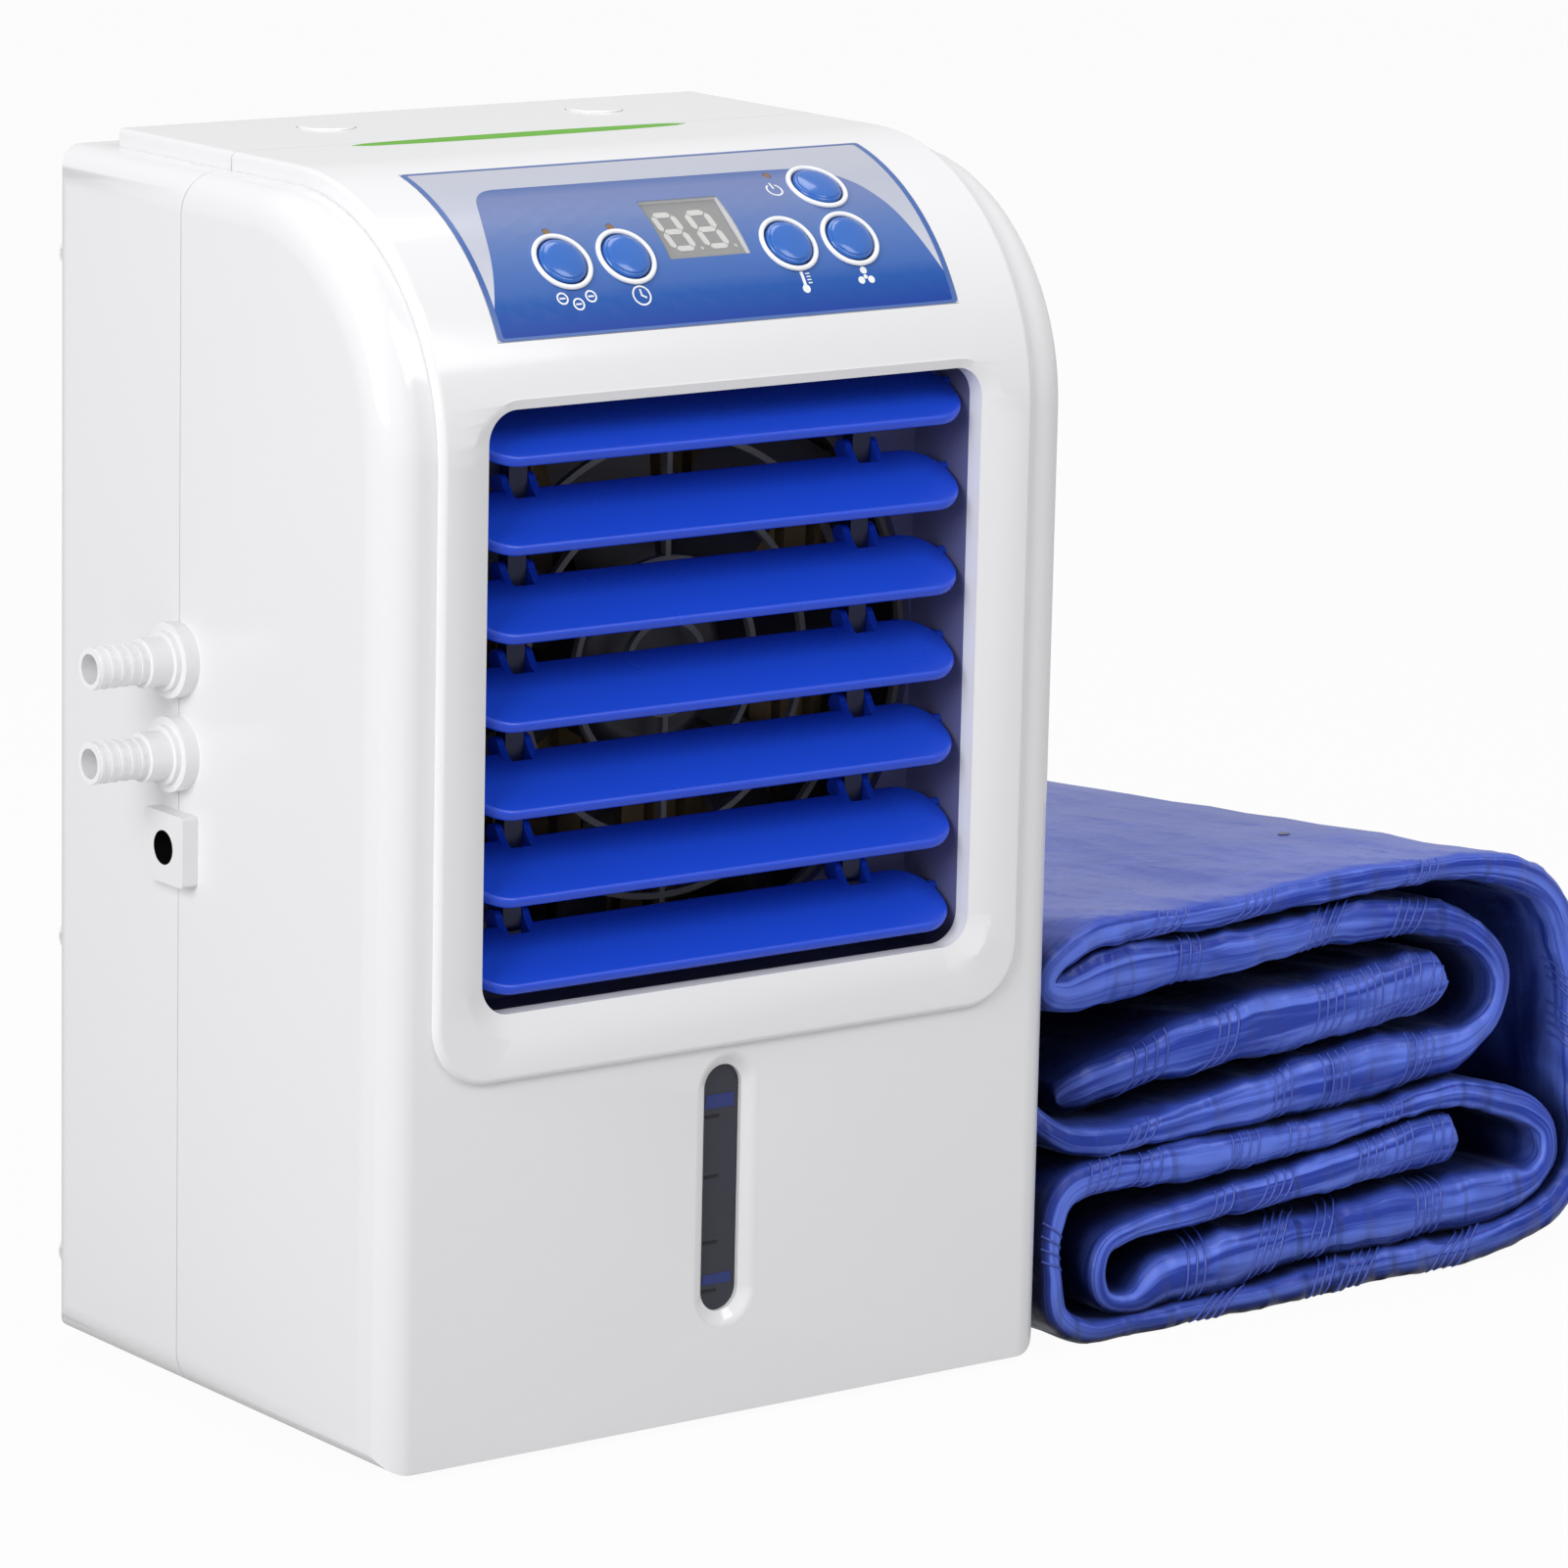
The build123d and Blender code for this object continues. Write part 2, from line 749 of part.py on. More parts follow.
with BuildPart() as window_lens:
    with BuildSketch(along_y(window_back_y)):
        with Locations((0, window_centre_z)):
            SlotOverall(
                window_height + 2 * (window_lens_margin - panel_fit),
                window_width + 2 * (window_lens_margin - panel_fit),
                rotation=90,
            )
    extrude(amount=window_lens_thickness)
window_lens.part.label = "window_lens"
export_step(window_lens.part, "parts/window_lens.step")

# Control panel: film, display, lamps, buttons and their board
with BuildPart() as panel_overlay:
    extrude(
        curved_sheet(panel_recess_radius, band_radius, panel_low_angle, panel_high_angle),
        amount=panel_half_width,
        both=True,
    )
    for x, angle in buttons.values():
        with BuildSketch(panel_plane(x, angle, band_radius + over)):
            Circle(button_radius + button_hole_clearance)
        extrude(amount=-panel_cut_depth, mode=Mode.SUBTRACT)
    with BuildSketch(panel_plane(0, display_angle, band_radius + over)):
        Rectangle(display_width + 2 * panel_fit, display_height + 2 * panel_fit)
    extrude(amount=-panel_cut_depth, mode=Mode.SUBTRACT)
    for x, angle in lamp_places:
        with BuildSketch(panel_plane(x, angle, band_radius + over)):
            Circle(lamp_radius + lamp_clearance)
        extrude(amount=-panel_cut_depth, mode=Mode.SUBTRACT)
panel_overlay.part.label = "panel_overlay"
export_step(panel_overlay.part, "parts/panel_overlay.step")

display_span = degrees(asin(display_height / 2 / band_radius))
with BuildPart() as display_window:
    extrude(
        curved_sheet(
            band_radius - display_window_thickness, band_radius,
            display_angle - display_span, display_angle + display_span,
        ),
        amount=display_width / 2,
        both=True,
    )
display_window.part.label = "display_window"
export_step(display_window.part, "parts/display_window.step")

with BuildPart() as display_module:
    with BuildSketch(panel_plane(0, display_angle, panel_board_distance)):
        Rectangle(display_width, display_height)
    extrude(amount=band_radius - display_drop - panel_board_distance)
display_module.part.label = "display_module"
export_step(display_module.part, "parts/display_module.step")

with BuildPart() as indicator_lamps:
    for x, angle in lamp_places:
        lean = radians(angle - display_angle)
        base = panel_board_distance / cos(lean) + lamp_radius * abs(sin(lean)) + panel_fit
        with BuildSketch(panel_plane(x, angle, base)):
            Circle(lamp_radius)
        extrude(amount=band_radius - base)
indicator_lamps.part.label = "indicator_lamps"
export_step(indicator_lamps.part, "parts/indicator_lamps.step")

with BuildPart() as panel_board:
    with BuildSketch(panel_plane(0, display_angle, panel_board_distance)):
        Rectangle(panel_board_width, panel_board_height)
        with Locations(*panel_post_places):
            Circle(board_screw_radius + board_screw_clearance, mode=Mode.SUBTRACT)
    extrude(amount=-board_thickness)
panel_board.part.label = "panel_board"
export_step(panel_board.part, "parts/panel_board.step")

switch_places = [
    (x, panel_board_distance * tan(radians(angle - display_angle)))
    for x, angle in buttons.values()
]
with BuildPart() as tact_switches:
    with BuildSketch(panel_plane(0, display_angle, panel_board_distance)):
        with Locations(*switch_places):
            Rectangle(switch_size, switch_size)
    extrude(amount=switch_height)
    with BuildSketch(panel_plane(0, display_angle, panel_board_distance + switch_height)):
        with Locations(*switch_places):
            Circle(switch_plunger_radius)
    extrude(amount=switch_plunger_height)
tact_switches.part.label = "tact_switches"
export_step(tact_switches.part, "parts/tact_switches.step")

flange_top = sqrt((band_radius - casing_wall) ** 2 - button_flange_radius**2) - button_flange_gap
flange_base = flange_top - button_flange_thickness
for name, (x, angle) in buttons.items():
    board_level = panel_board_distance / cos(radians(angle - display_angle))
    stem_base = board_level + switch_height + switch_plunger_height + button_travel + switch_gap
    with BuildPart() as button:
        with BuildSketch(panel_plane(x, angle, stem_base)):
            Circle(button_stem_radius)
        extrude(amount=flange_base - stem_base)
        with BuildSketch(panel_plane(x, angle, flange_base)):
            Circle(button_flange_radius)
        extrude(amount=button_flange_thickness)
        with BuildSketch(panel_plane(x, angle, flange_top)):
            Circle(button_radius)
        extrude(amount=band_radius + button_proud - flange_top)
        outward = Axis((x, 0, 0), tuple(panel_plane(x, angle, 0).z_dir))
        fillet(button.edges().sort_by(outward)[-1], button_dome)
    button.part.label = name
    export_step(button.part, f"parts/{name}.step")

# Louvre frame, louvres and tie bars
pivot_heights = [outlet_bottom + louver_lowest_rise + i * louver_pitch for i in range(louver_count)]
frame_inner_bottom = outlet_bottom - louver_frame_foot_room
frame_inner_top = outlet_top + louver_frame_head_room
frame_centre_z = (frame_inner_bottom + frame_inner_top) / 2
frame_inner_height = frame_inner_top - frame_inner_bottom
fan_z = outlet_centre_z
fan_hole = fan_frame_size / 2 - fan_hole_inset
fan_hole_places = [(i * fan_hole, fan_z + k * fan_hole) for i in (-1, 1) for k in (-1, 1)]

with BuildPart() as louver_frame:
    with BuildSketch(along_y(louver_frame_back_y)):
        with Locations((0, frame_centre_z)):
            Rectangle(outlet_width + 2 * louver_frame_wall, frame_inner_height + 2 * louver_frame_wall)
        with Locations((0, fan_z)):
            Circle(fan_bore_radius, mode=Mode.SUBTRACT)
        with Locations(*fan_hole_places):
            Circle(fan_screw_radius + fan_screw_pilot_clearance, mode=Mode.SUBTRACT)
    extrude(amount=shroud_thickness)
    with BuildSketch(along_y(louver_frame_back_y)):
        with Locations((0, frame_centre_z)):
            Rectangle(outlet_width + 2 * louver_frame_wall, frame_inner_height + 2 * louver_frame_wall)
            Rectangle(outlet_width, frame_inner_height, mode=Mode.SUBTRACT)
    extrude(amount=louver_frame_back_y - lip_back_y)
    with BuildSketch(along_x(0)):
        with Locations(*[(louver_pivot_y, z) for z in pivot_heights]):
            Circle(pivot_pin_radius + pivot_clearance)
    extrude(amount=half_width, both=True, mode=Mode.SUBTRACT)
louver_frame.part.label = "louver_frame"
export_step(louver_frame.part, "parts/louver_frame.step")

louver_half_width = outlet_width / 2 - louver_end_gap
louver_chord = louver_front + louver_rear
tilt = radians(louver_tilt)
ear_gap = tie_bar_width / 2 + lug_side_gap
for number in range(1, louver_count + 1):
    pivot = (0, louver_pivot_y, pivot_heights[number - 1])
    blade_plane = Plane(origin=pivot, x_dir=(1, 0, 0), z_dir=(0, -sin(tilt), cos(tilt)))
    with BuildPart() as louver:
        with BuildSketch(blade_plane.offset(-louver_thickness / 2)):
            with Locations((0, (louver_rear - louver_front) / 2)):
                blade = Rectangle(2 * louver_half_width, louver_chord)
            fillet(blade.vertices(), louver_corner)
        extrude(amount=louver_thickness)
        rims = louver.faces().filter_by(lambda f: abs(f.normal_at().dot(blade_plane.z_dir)) > 0.99)
        fillet(rims.edges(), louver_edge_radius)
        # Notches for the tie bars, each with two ears and a pin between them
        for side in (-1, 1):
            with BuildSketch(blade_plane.offset(-louver_thickness)):
                with Locations((side * lug_offset_x, lug_notch_start + louver_chord / 2)):
                    Rectangle(2 * ear_gap, louver_chord)
            extrude(amount=2 * louver_thickness, mode=Mode.SUBTRACT)
            for end in (-1, 1):
                ear_x = side * lug_offset_x + end * (ear_gap + lug_ear_thickness / 2)
                ear_plane = Plane(
                    origin=(ear_x - lug_ear_thickness / 2, pivot[1], pivot[2]),
                    x_dir=(0, cos(tilt), sin(tilt)),
                    z_dir=(1, 0, 0),
                )
                with BuildSketch(ear_plane):
                    with BuildLine():
                        Polyline(
                            (lug_notch_start, -louver_thickness / 2 + louver_edge_radius / 2),
                            (lug_back, lug_up - lug_ear_radius),
                            (lug_back, lug_up + lug_ear_radius),
                            (lug_notch_start, louver_thickness / 2 - louver_edge_radius / 2),
                            close=True,
                        )
                    make_face()
                    with Locations((lug_back, lug_up)):
                        Circle(lug_ear_radius)
                extrude(amount=lug_ear_thickness)
            pin_plane = Plane(
                origin=(side * lug_offset_x, pivot[1], pivot[2]),
                x_dir=(0, cos(tilt), sin(tilt)),
                z_dir=(1, 0, 0),
            )
            with BuildSketch(pin_plane):
                with Locations((lug_back, lug_up)):
                    Circle(lug_pin_radius)
            extrude(amount=ear_gap + lug_ear_thickness / 2, both=True)
        # Pivot pins at the two ends
        with BuildSketch(along_x(louver_half_width - over)):
            with Locations((pivot[1], pivot[2])):
                Circle(pivot_pin_radius)
        extrude(amount=pivot_pin_length + over)
        with BuildSketch(along_x(over - louver_half_width)):
            with Locations((pivot[1], pivot[2])):
                Circle(pivot_pin_radius)
        extrude(amount=-pivot_pin_length - over)
    louver.part.label = f"louver_{number}"
    export_step(louver.part, f"parts/louver_{number}.step")

lug_y = louver_pivot_y + lug_back * cos(tilt) - lug_up * sin(tilt)
lug_rise = lug_back * sin(tilt) + lug_up * cos(tilt)
lug_heights = [z + lug_rise for z in pivot_heights]
for name, side in (("tie_bar_left", -1), ("tie_bar_right", 1)):
    with BuildPart() as tie_bar:
        with BuildSketch(along_x(side * lug_offset_x - tie_bar_width / 2)):
            with Locations((lug_y, (lug_heights[0] + lug_heights[-1]) / 2)):
                RectangleRounded(
                    tie_bar_depth, lug_heights[-1] - lug_heights[0] + 2 * tie_bar_end, tie_bar_corner
                )
            with Locations(*[(lug_y, z) for z in lug_heights]):
                Circle(lug_pin_radius + tie_hole_clearance, mode=Mode.SUBTRACT)
        extrude(amount=tie_bar_width)
    tie_bar.part.label = name
    export_step(tie_bar.part, f"parts/{name}.step")

# Fan: guard, frame with motor, rotor and screws
motor_front_y = frame_back_y - fan_motor_length

with BuildPart() as fan_guard:
    with BuildSketch(along_y(frame_front_y)):
        with Locations((0, fan_z)):
            RectangleRounded(fan_frame_size, fan_frame_size, fan_corner_radius)
            Circle(fan_bore_radius, mode=Mode.SUBTRACT)
            for radius in guard_ring_radii:
                with BuildSketch(mode=Mode.PRIVATE) as ring:
                    Circle(radius + guard_wire / 2)
                    Circle(radius - guard_wire / 2, mode=Mode.SUBTRACT)
                add(ring.sketch)
            spoke_start = guard_ring_radii[0]
            spoke_length = fan_bore_radius + guard_wire - spoke_start
            with PolarLocations(spoke_start + spoke_length / 2, guard_spoke_count):
                Rectangle(spoke_length, guard_wire)
        with Locations(*fan_hole_places):
            Circle(fan_screw_radius + fan_screw_clearance, mode=Mode.SUBTRACT)
    extrude(amount=guard_thickness)
fan_guard.part.label = "fan_guard"
export_step(fan_guard.part, "parts/fan_guard.step")

with BuildPart() as fan_frame:
    with BuildSketch(along_y(frame_back_y)):
        with Locations((0, fan_z)):
            RectangleRounded(fan_frame_size, fan_frame_size, fan_corner_radius)
            Circle(fan_bore_radius, mode=Mode.SUBTRACT)
        with Locations(*fan_hole_places):
            Circle(fan_screw_radius + fan_screw_clearance, mode=Mode.SUBTRACT)
    extrude(amount=fan_frame_depth)
    with BuildSketch(along_y(frame_back_y)):
        with Locations((0, fan_z)):
            with PolarLocations(fan_bore_radius / 2 + over, fan_strut_count, start_angle=90):
                Rectangle(fan_bore_radius, fan_strut_width)
    extrude(amount=fan_strut_thickness)
    with BuildSketch(along_y(frame_back_y)):
        with Locations((0, fan_z)):
            Circle(fan_motor_radius)
    extrude(amount=fan_motor_length)
    with BuildSketch(along_y(motor_front_y)):
        with Locations((0, fan_z)):
            Circle(fan_shaft_radius + fan_shaft_clearance)
    extrude(amount=fan_motor_cap - fan_motor_length, mode=Mode.SUBTRACT)
fan_frame.part.label = "fan_frame"
export_step(fan_frame.part, "parts/fan_frame.step")

hub_back_y = motor_front_y - fan_rotor_gap
with BuildPart() as fan_blade:
    for radius, chord, pitch in (
        (fan_hub_radius - over, fan_blade_root_chord, fan_blade_root_pitch),
        (fan_bore_radius - fan_tip_gap, fan_blade_tip_chord, fan_blade_tip_pitch),
    ):
        with BuildSketch(Plane(origin=(radius, 0, 0), x_dir=(0, 0, 1), z_dir=(1, 0, 0))):
            Rectangle(chord, fan_blade_thickness, rotation=90 - pitch)
    loft()

with BuildPart() as fan_rotor:
    with BuildSketch(along_y(hub_back_y)):
        with Locations((0, fan_z)):
            Circle(fan_hub_radius)
    extrude(amount=fan_hub_length)
    fillet(fan_rotor.edges().sort_by(Axis.Y)[0], fan_hub_corner)
    hub_middle = Plane(
        origin=(0, hub_back_y - fan_hub_length / 2, fan_z), x_dir=(1, 0, 0), z_dir=(0, -1, 0)
    )
    with Locations(hub_middle):
        with PolarLocations(0, fan_blade_count):
            add(fan_blade.part)
    with BuildSketch(along_y(hub_back_y)):
        with Locations((0, fan_z)):
            Circle(fan_shaft_radius)
    extrude(amount=fan_motor_cap + fan_shaft_end_gap - fan_rotor_gap - fan_motor_length)
fan_rotor.part.label = "fan_rotor"
export_step(fan_rotor.part, "parts/fan_rotor.step")

with BuildPart() as fan_screws:
    with BuildSketch(along_y(frame_back_y)):
        with Locations(*fan_hole_places):
            Circle(fan_screw_radius)
    extrude(amount=fan_frame_depth + guard_thickness + shroud_thickness - fan_screw_end_gap)
    with BuildSketch(along_y(frame_back_y)):
        with Locations(*fan_hole_places):
            Circle(fan_screw_head_radius)
    extrude(amount=-fan_screw_head_height)
fan_screws.part.label = "fan_screws"
export_step(fan_screws.part, "parts/fan_screws.step")

# Water tank, cover and fill chute
with BuildPart() as water_tank:
    with BuildSketch(Plane.YZ):
        side_outline(
            tank_front_y, tank_back_y, inner_floor, tank_top,
            0, 0, tank_front_bottom_radius, tank_back_bottom_radius,
        )
    extrude(amount=tank_half_width, both=True)
    fillet(water_tank.edges().filter_by(Axis.Z), tank_corner_radius)
    offset(
        amount=-tank_wall,
        openings=water_tank.faces().sort_by(Axis.Z)[-1],
    )
water_tank.part.label = "water_tank"
export_step(water_tank.part, "parts/water_tank.step")

hose_inner_radius = fitting_tail_radius + hose_fit
hose_outer_radius = hose_inner_radius + hose_wall
cover_top = tank_top + tank_cover_thickness
with BuildPart() as tank_cover:
    with BuildSketch(Plane.XY.offset(tank_top)):
        with Locations((0, (tank_front_y + tank_back_y) / 2)):
            RectangleRounded(
                2 * (tank_half_width + tank_cover_margin),
                tank_back_y - tank_front_y + 2 * tank_cover_margin,
                tank_corner_radius,
            )
        with Locations((supply_drop_x, fitting_y), (return_drop_x, fitting_y)):
            Circle(hose_outer_radius + hose_hole_clearance, mode=Mode.SUBTRACT)
        with Locations((0, (fill_mouth_front_y + chute_low_y) / 2)):
            Rectangle(
                2 * fill_mouth_half_width, chute_low_y - fill_mouth_front_y, mode=Mode.SUBTRACT
            )
    extrude(amount=tank_cover_thickness)
tank_cover.part.label = "tank_cover"
export_step(tank_cover.part, "parts/tank_cover.step")

chute_back_y = inner_back_y - grille_ledge
chute_half_width = door_half_width - door_ledge
with BuildPart() as fill_chute:
    with BuildSketch(Plane.YZ):
        with BuildLine():
            Polyline(
                (chute_low_y, cover_top),
                (chute_back_y, cover_top),
                (chute_back_y, cover_top + chute_rise),
                (chute_low_y, cover_top + chute_wall / 2),
                close=True,
            )
        make_face()
    extrude(amount=chute_half_width, both=True)
    for side in (-1, 1):
        wall_x = side * chute_half_width if side < 0 else chute_half_width - chute_wall
        with BuildSketch(along_x(wall_x)):
            with Locations(((chute_low_y + chute_back_y) / 2, cover_top + chute_side_height / 2)):
                Rectangle(chute_back_y - chute_low_y, chute_side_height)
        extrude(amount=chute_wall)
fill_chute.part.label = "fill_chute"
export_step(fill_chute.part, "parts/fill_chute.step")

# Pump
pump_floor = inner_floor + tank_wall
pump_front_y = fitting_y - pump_chamber_height / 2
axle_z = pump_floor + pump_axle_height
well_start_y = pump_front_y + pump_chamber_height
nozzle_top = pump_floor + pump_height + pump_nozzle_length
with BuildPart() as pump_body:
    with BuildSketch(along_y(pump_front_y)):
        with Locations((pump_x, pump_floor + pump_height / 2)):
            Rectangle(pump_width, pump_height)
    extrude(amount=-pump_depth)
    fillet(pump_body.edges().filter_by(Axis.Y), pump_corner_radius)
    with BuildSketch(Plane.XY.offset(pump_floor + pump_height)):
        with Locations((supply_drop_x, fitting_y)):
            Circle(fitting_tail_radius)
    extrude(amount=pump_nozzle_length)
    with BuildSketch(along_y(pump_front_y)):
        with Locations((pump_x, axle_z)):
            Circle(pump_chamber_radius)
    extrude(amount=-pump_chamber_height, mode=Mode.SUBTRACT)
    with BuildSketch(along_y(well_start_y)):
        with Locations((pump_x, axle_z)):
            Circle(impeller_rotor_radius + rotor_well_clearance)
    extrude(amount=-impeller_rotor_length - rotor_well_clearance, mode=Mode.SUBTRACT)
    with BuildSketch(Plane.XY.offset(nozzle_top)):
        with Locations((supply_drop_x, fitting_y)):
            Circle(pump_outlet_radius)
    extrude(amount=axle_z - nozzle_top, mode=Mode.SUBTRACT)
pump_body.part.label = "pump_body"
export_step(pump_body.part, "parts/pump_body.step")

with BuildPart() as pump_cover:
    with BuildSketch(along_y(pump_front_y)):
        with Locations((pump_x, pump_floor + pump_height / 2)):
            Rectangle(pump_width, pump_height)
        with Locations((pump_x, axle_z)):
            Circle(pump_inlet_radius, mode=Mode.SUBTRACT)
    extrude(amount=pump_cover_thickness)
    fillet(pump_cover.edges().filter_by(Axis.Y).filter_by(GeomType.LINE), pump_corner_radius)
pump_cover.part.label = "pump_cover"
export_step(pump_cover.part, "parts/pump_cover.step")

with BuildPart() as pump_impeller:
    with BuildSketch(along_y(well_start_y - impeller_float)):
        with Locations((pump_x, axle_z)):
            Circle(impeller_radius)
    extrude(amount=impeller_disc)
    with BuildSketch(along_y(well_start_y - impeller_float - impeller_disc)):
        with Locations((pump_x, axle_z)):
            Circle(impeller_rotor_radius / 2)
            with PolarLocations(impeller_radius / 2, impeller_vane_count):
                Rectangle(impeller_radius - over, impeller_disc)
    extrude(amount=impeller_vane_height)
    with BuildSketch(along_y(well_start_y - impeller_float)):
        with Locations((pump_x, axle_z)):
            Circle(impeller_rotor_radius)
    extrude(amount=-impeller_rotor_length)
pump_impeller.part.label = "pump_impeller"
export_step(pump_impeller.part, "parts/pump_impeller.step")

# Hose fittings through the left side, with their nuts and the hoses inside
flange_x = -half_width - fitting_flange_thickness
collar_x = flange_x - fitting_collar_thickness
neck_x = collar_x - fitting_neck_length
tip_x = neck_x - barb_length
nut_inner_x = -inner_half_width + nut_thickness
tail_x = nut_inner_x + fitting_tail_length
ridge_pitch = barb_length / barb_ridge_count
for name, height in (("supply_fitting", supply_z), ("return_fitting", return_z)):
    with BuildPart() as fitting:
        for start, end, radius in (
            (tail_x, nut_inner_x, fitting_tail_radius),
            (nut_inner_x, -half_width, fitting_thread_radius),
            (-half_width, flange_x, fitting_flange_radius),
            (flange_x, collar_x, fitting_collar_radius),
            (collar_x, neck_x, fitting_neck_radius),
            (neck_x, tip_x, barb_radius),
        ):
            with BuildSketch(along_x(start)):
                with Locations((fitting_y, height)):
                    Circle(radius)
            extrude(amount=end - start)
        for ridge in range(barb_ridge_count):
            ridge_x = neck_x - (ridge + 0.5) * ridge_pitch
            with BuildSketch(along_x(ridge_x)):
                with Locations((fitting_y, height)):
                    Circle(barb_radius + barb_ridge_height)
            extrude(amount=-ridge_pitch / 3)
        with BuildSketch(along_x(tail_x)):
            with Locations((fitting_y, height)):
                Circle(fitting_bore_radius)
        extrude(amount=tip_x - tail_x, mode=Mode.SUBTRACT)
    fitting.part.label = name
    export_step(fitting.part, f"parts/{name}.step")

with BuildPart() as fitting_nuts:
    with BuildSketch(along_x(-inner_half_width)):
        with Locations(*[(fitting_y, z) for z in fitting_heights]):
            RegularPolygon(nut_radius, 6)
            Circle(fitting_thread_radius + nut_fit, mode=Mode.SUBTRACT)
    extrude(amount=nut_thickness)
fitting_nuts.part.label = "fitting_nuts"
export_step(fitting_nuts.part, "parts/fitting_nuts.step")

hose_end_x = nut_inner_x + hose_hole_clearance
hose_routes = {
    "supply_hose": [
        (supply_drop_x, fitting_y, pump_floor + pump_height + hose_hole_clearance),
        (supply_drop_x, fitting_y, supply_z),
        (hose_end_x, fitting_y, supply_z),
    ],
    "return_hose": [
        (return_drop_x, fitting_y, return_hose_end_z),
        (return_drop_x, fitting_y, return_z),
        (hose_end_x, fitting_y, return_z),
    ],
}
for name, points in hose_routes.items():
    with BuildPart() as hose:
        with BuildLine() as hose_line:
            FilletPolyline(*points, radius=hose_bend_radius)
        with BuildSketch(Plane(origin=points[0], x_dir=(1, 0, 0), z_dir=(0, 0, 1))):
            Circle(hose_outer_radius)
            Circle(hose_inner_radius, mode=Mode.SUBTRACT)
        sweep()
    print(name, "length", round(sum(edge.length for edge in hose_line.edges()), 1))
    hose.part.label = name
    export_step(hose.part, f"parts/{name}.step")

# Power inlet and its pin
inlet_face_x = -half_width - jack_proud
recess_floor_x = inlet_face_x + jack_recess_depth
barrel_end_x = -half_width + jack_barrel_length
with BuildPart() as power_inlet:
    with BuildSketch(along_x(inlet_face_x)):
        with Locations((fitting_y, jack_z)):
            RectangleRounded(jack_size, jack_size, jack_corner_radius)
    extrude(amount=jack_proud)
    with BuildSketch(along_x(-half_width)):
        with Locations((fitting_y, jack_z)):
            Circle(jack_barrel_radius)
    extrude(amount=jack_barrel_length)
    with BuildSketch(along_x(inlet_face_x)):
        with Locations((fitting_y, jack_z)):
            Circle(jack_recess_radius)
    extrude(amount=jack_recess_depth, mode=Mode.SUBTRACT)
    with BuildSketch(along_x(recess_floor_x)):
        with Locations((fitting_y, jack_z)):
            Circle(jack_socket_radius)
    extrude(amount=jack_pin_length - casing_wall / 2, mode=Mode.SUBTRACT)
    with BuildSketch(along_x(recess_floor_x)):
        with Locations((fitting_y, jack_z)):
            Circle(jack_pin_radius)
    extrude(amount=jack_pin_length, mode=Mode.SUBTRACT)
power_inlet.part.label = "power_inlet"
export_step(power_inlet.part, "parts/power_inlet.step")

with BuildPart() as inlet_pin:
    with BuildSketch(along_x(recess_floor_x + jack_pin_radius)):
        with Locations((fitting_y, jack_z)):
            Circle(jack_pin_radius)
    extrude(amount=jack_pin_length - jack_pin_radius)
inlet_pin.part.label = "inlet_pin"
export_step(inlet_pin.part, "parts/inlet_pin.step")

# Wet curtain in its frame, standing on the tank cover
curtain_bottom = cover_top + curtain_frame_wall + curtain_fit
curtain_height = curtain_top - curtain_bottom
with BuildPart() as curtain_frame:
    with BuildSketch(along_y(curtain_front_y + curtain_depth)):
        with Locations((0, (cover_top + curtain_top + curtain_frame_wall + curtain_fit) / 2)):
            Rectangle(
                2 * (curtain_half_width + curtain_frame_wall + curtain_fit),
                curtain_top + curtain_frame_wall + curtain_fit - cover_top,
            )
        with Locations((0, (curtain_bottom + curtain_top) / 2)):
            Rectangle(
                2 * (curtain_half_width + curtain_fit), curtain_height + 2 * curtain_fit, mode=Mode.SUBTRACT
            )
    extrude(amount=curtain_depth)
curtain_frame.part.label = "curtain_frame"
export_step(curtain_frame.part, "parts/curtain_frame.step")

with BuildPart() as wet_curtain:
    with BuildSketch(along_y(curtain_front_y + curtain_depth)):
        with Locations((0, (curtain_bottom + curtain_top) / 2)):
            Rectangle(2 * curtain_half_width, curtain_height)
            with GridLocations(
                2 * curtain_half_width / (curtain_slot_count + 1), 0, curtain_slot_count, 1
            ):
                Rectangle(
                    curtain_slot_width, curtain_height - 4 * curtain_slot_width, mode=Mode.SUBTRACT
                )
    extrude(amount=curtain_depth)
wet_curtain.part.label = "wet_curtain"
export_step(wet_curtain.part, "parts/wet_curtain.step")

# Dust filter, rear grille and fill door
grille_middle_z = (grille_bottom + grille_top) / 2
grille_height = grille_top - grille_bottom
filter_back_y = back_y - grille_thickness
filter_width = 2 * (grille_half_width - grille_ledge - filter_fit)
filter_height = grille_height - 2 * (grille_ledge + filter_fit)
net_width = filter_width - 2 * filter_border
net_height = filter_height - 2 * filter_border
with BuildPart() as dust_filter:
    with BuildSketch(along_y(filter_back_y)):
        with Locations((0, grille_middle_z)):
            Rectangle(filter_width, filter_height)
            Rectangle(net_width, net_height, mode=Mode.SUBTRACT)
    extrude(amount=filter_depth)
    with BuildSketch(along_y(filter_back_y)):
        with Locations((0, grille_middle_z)):
            Rectangle(net_width, net_height)
            with GridLocations(
                net_width / filter_column_count, net_height / filter_row_count,
                filter_column_count, filter_row_count,
            ):
                Rectangle(
                    net_width / filter_column_count - filter_bar,
                    net_height / filter_row_count - filter_bar,
                    mode=Mode.SUBTRACT,
                )
    extrude(amount=filter_net)
dust_filter.part.label = "dust_filter"
export_step(dust_filter.part, "parts/dust_filter.step")

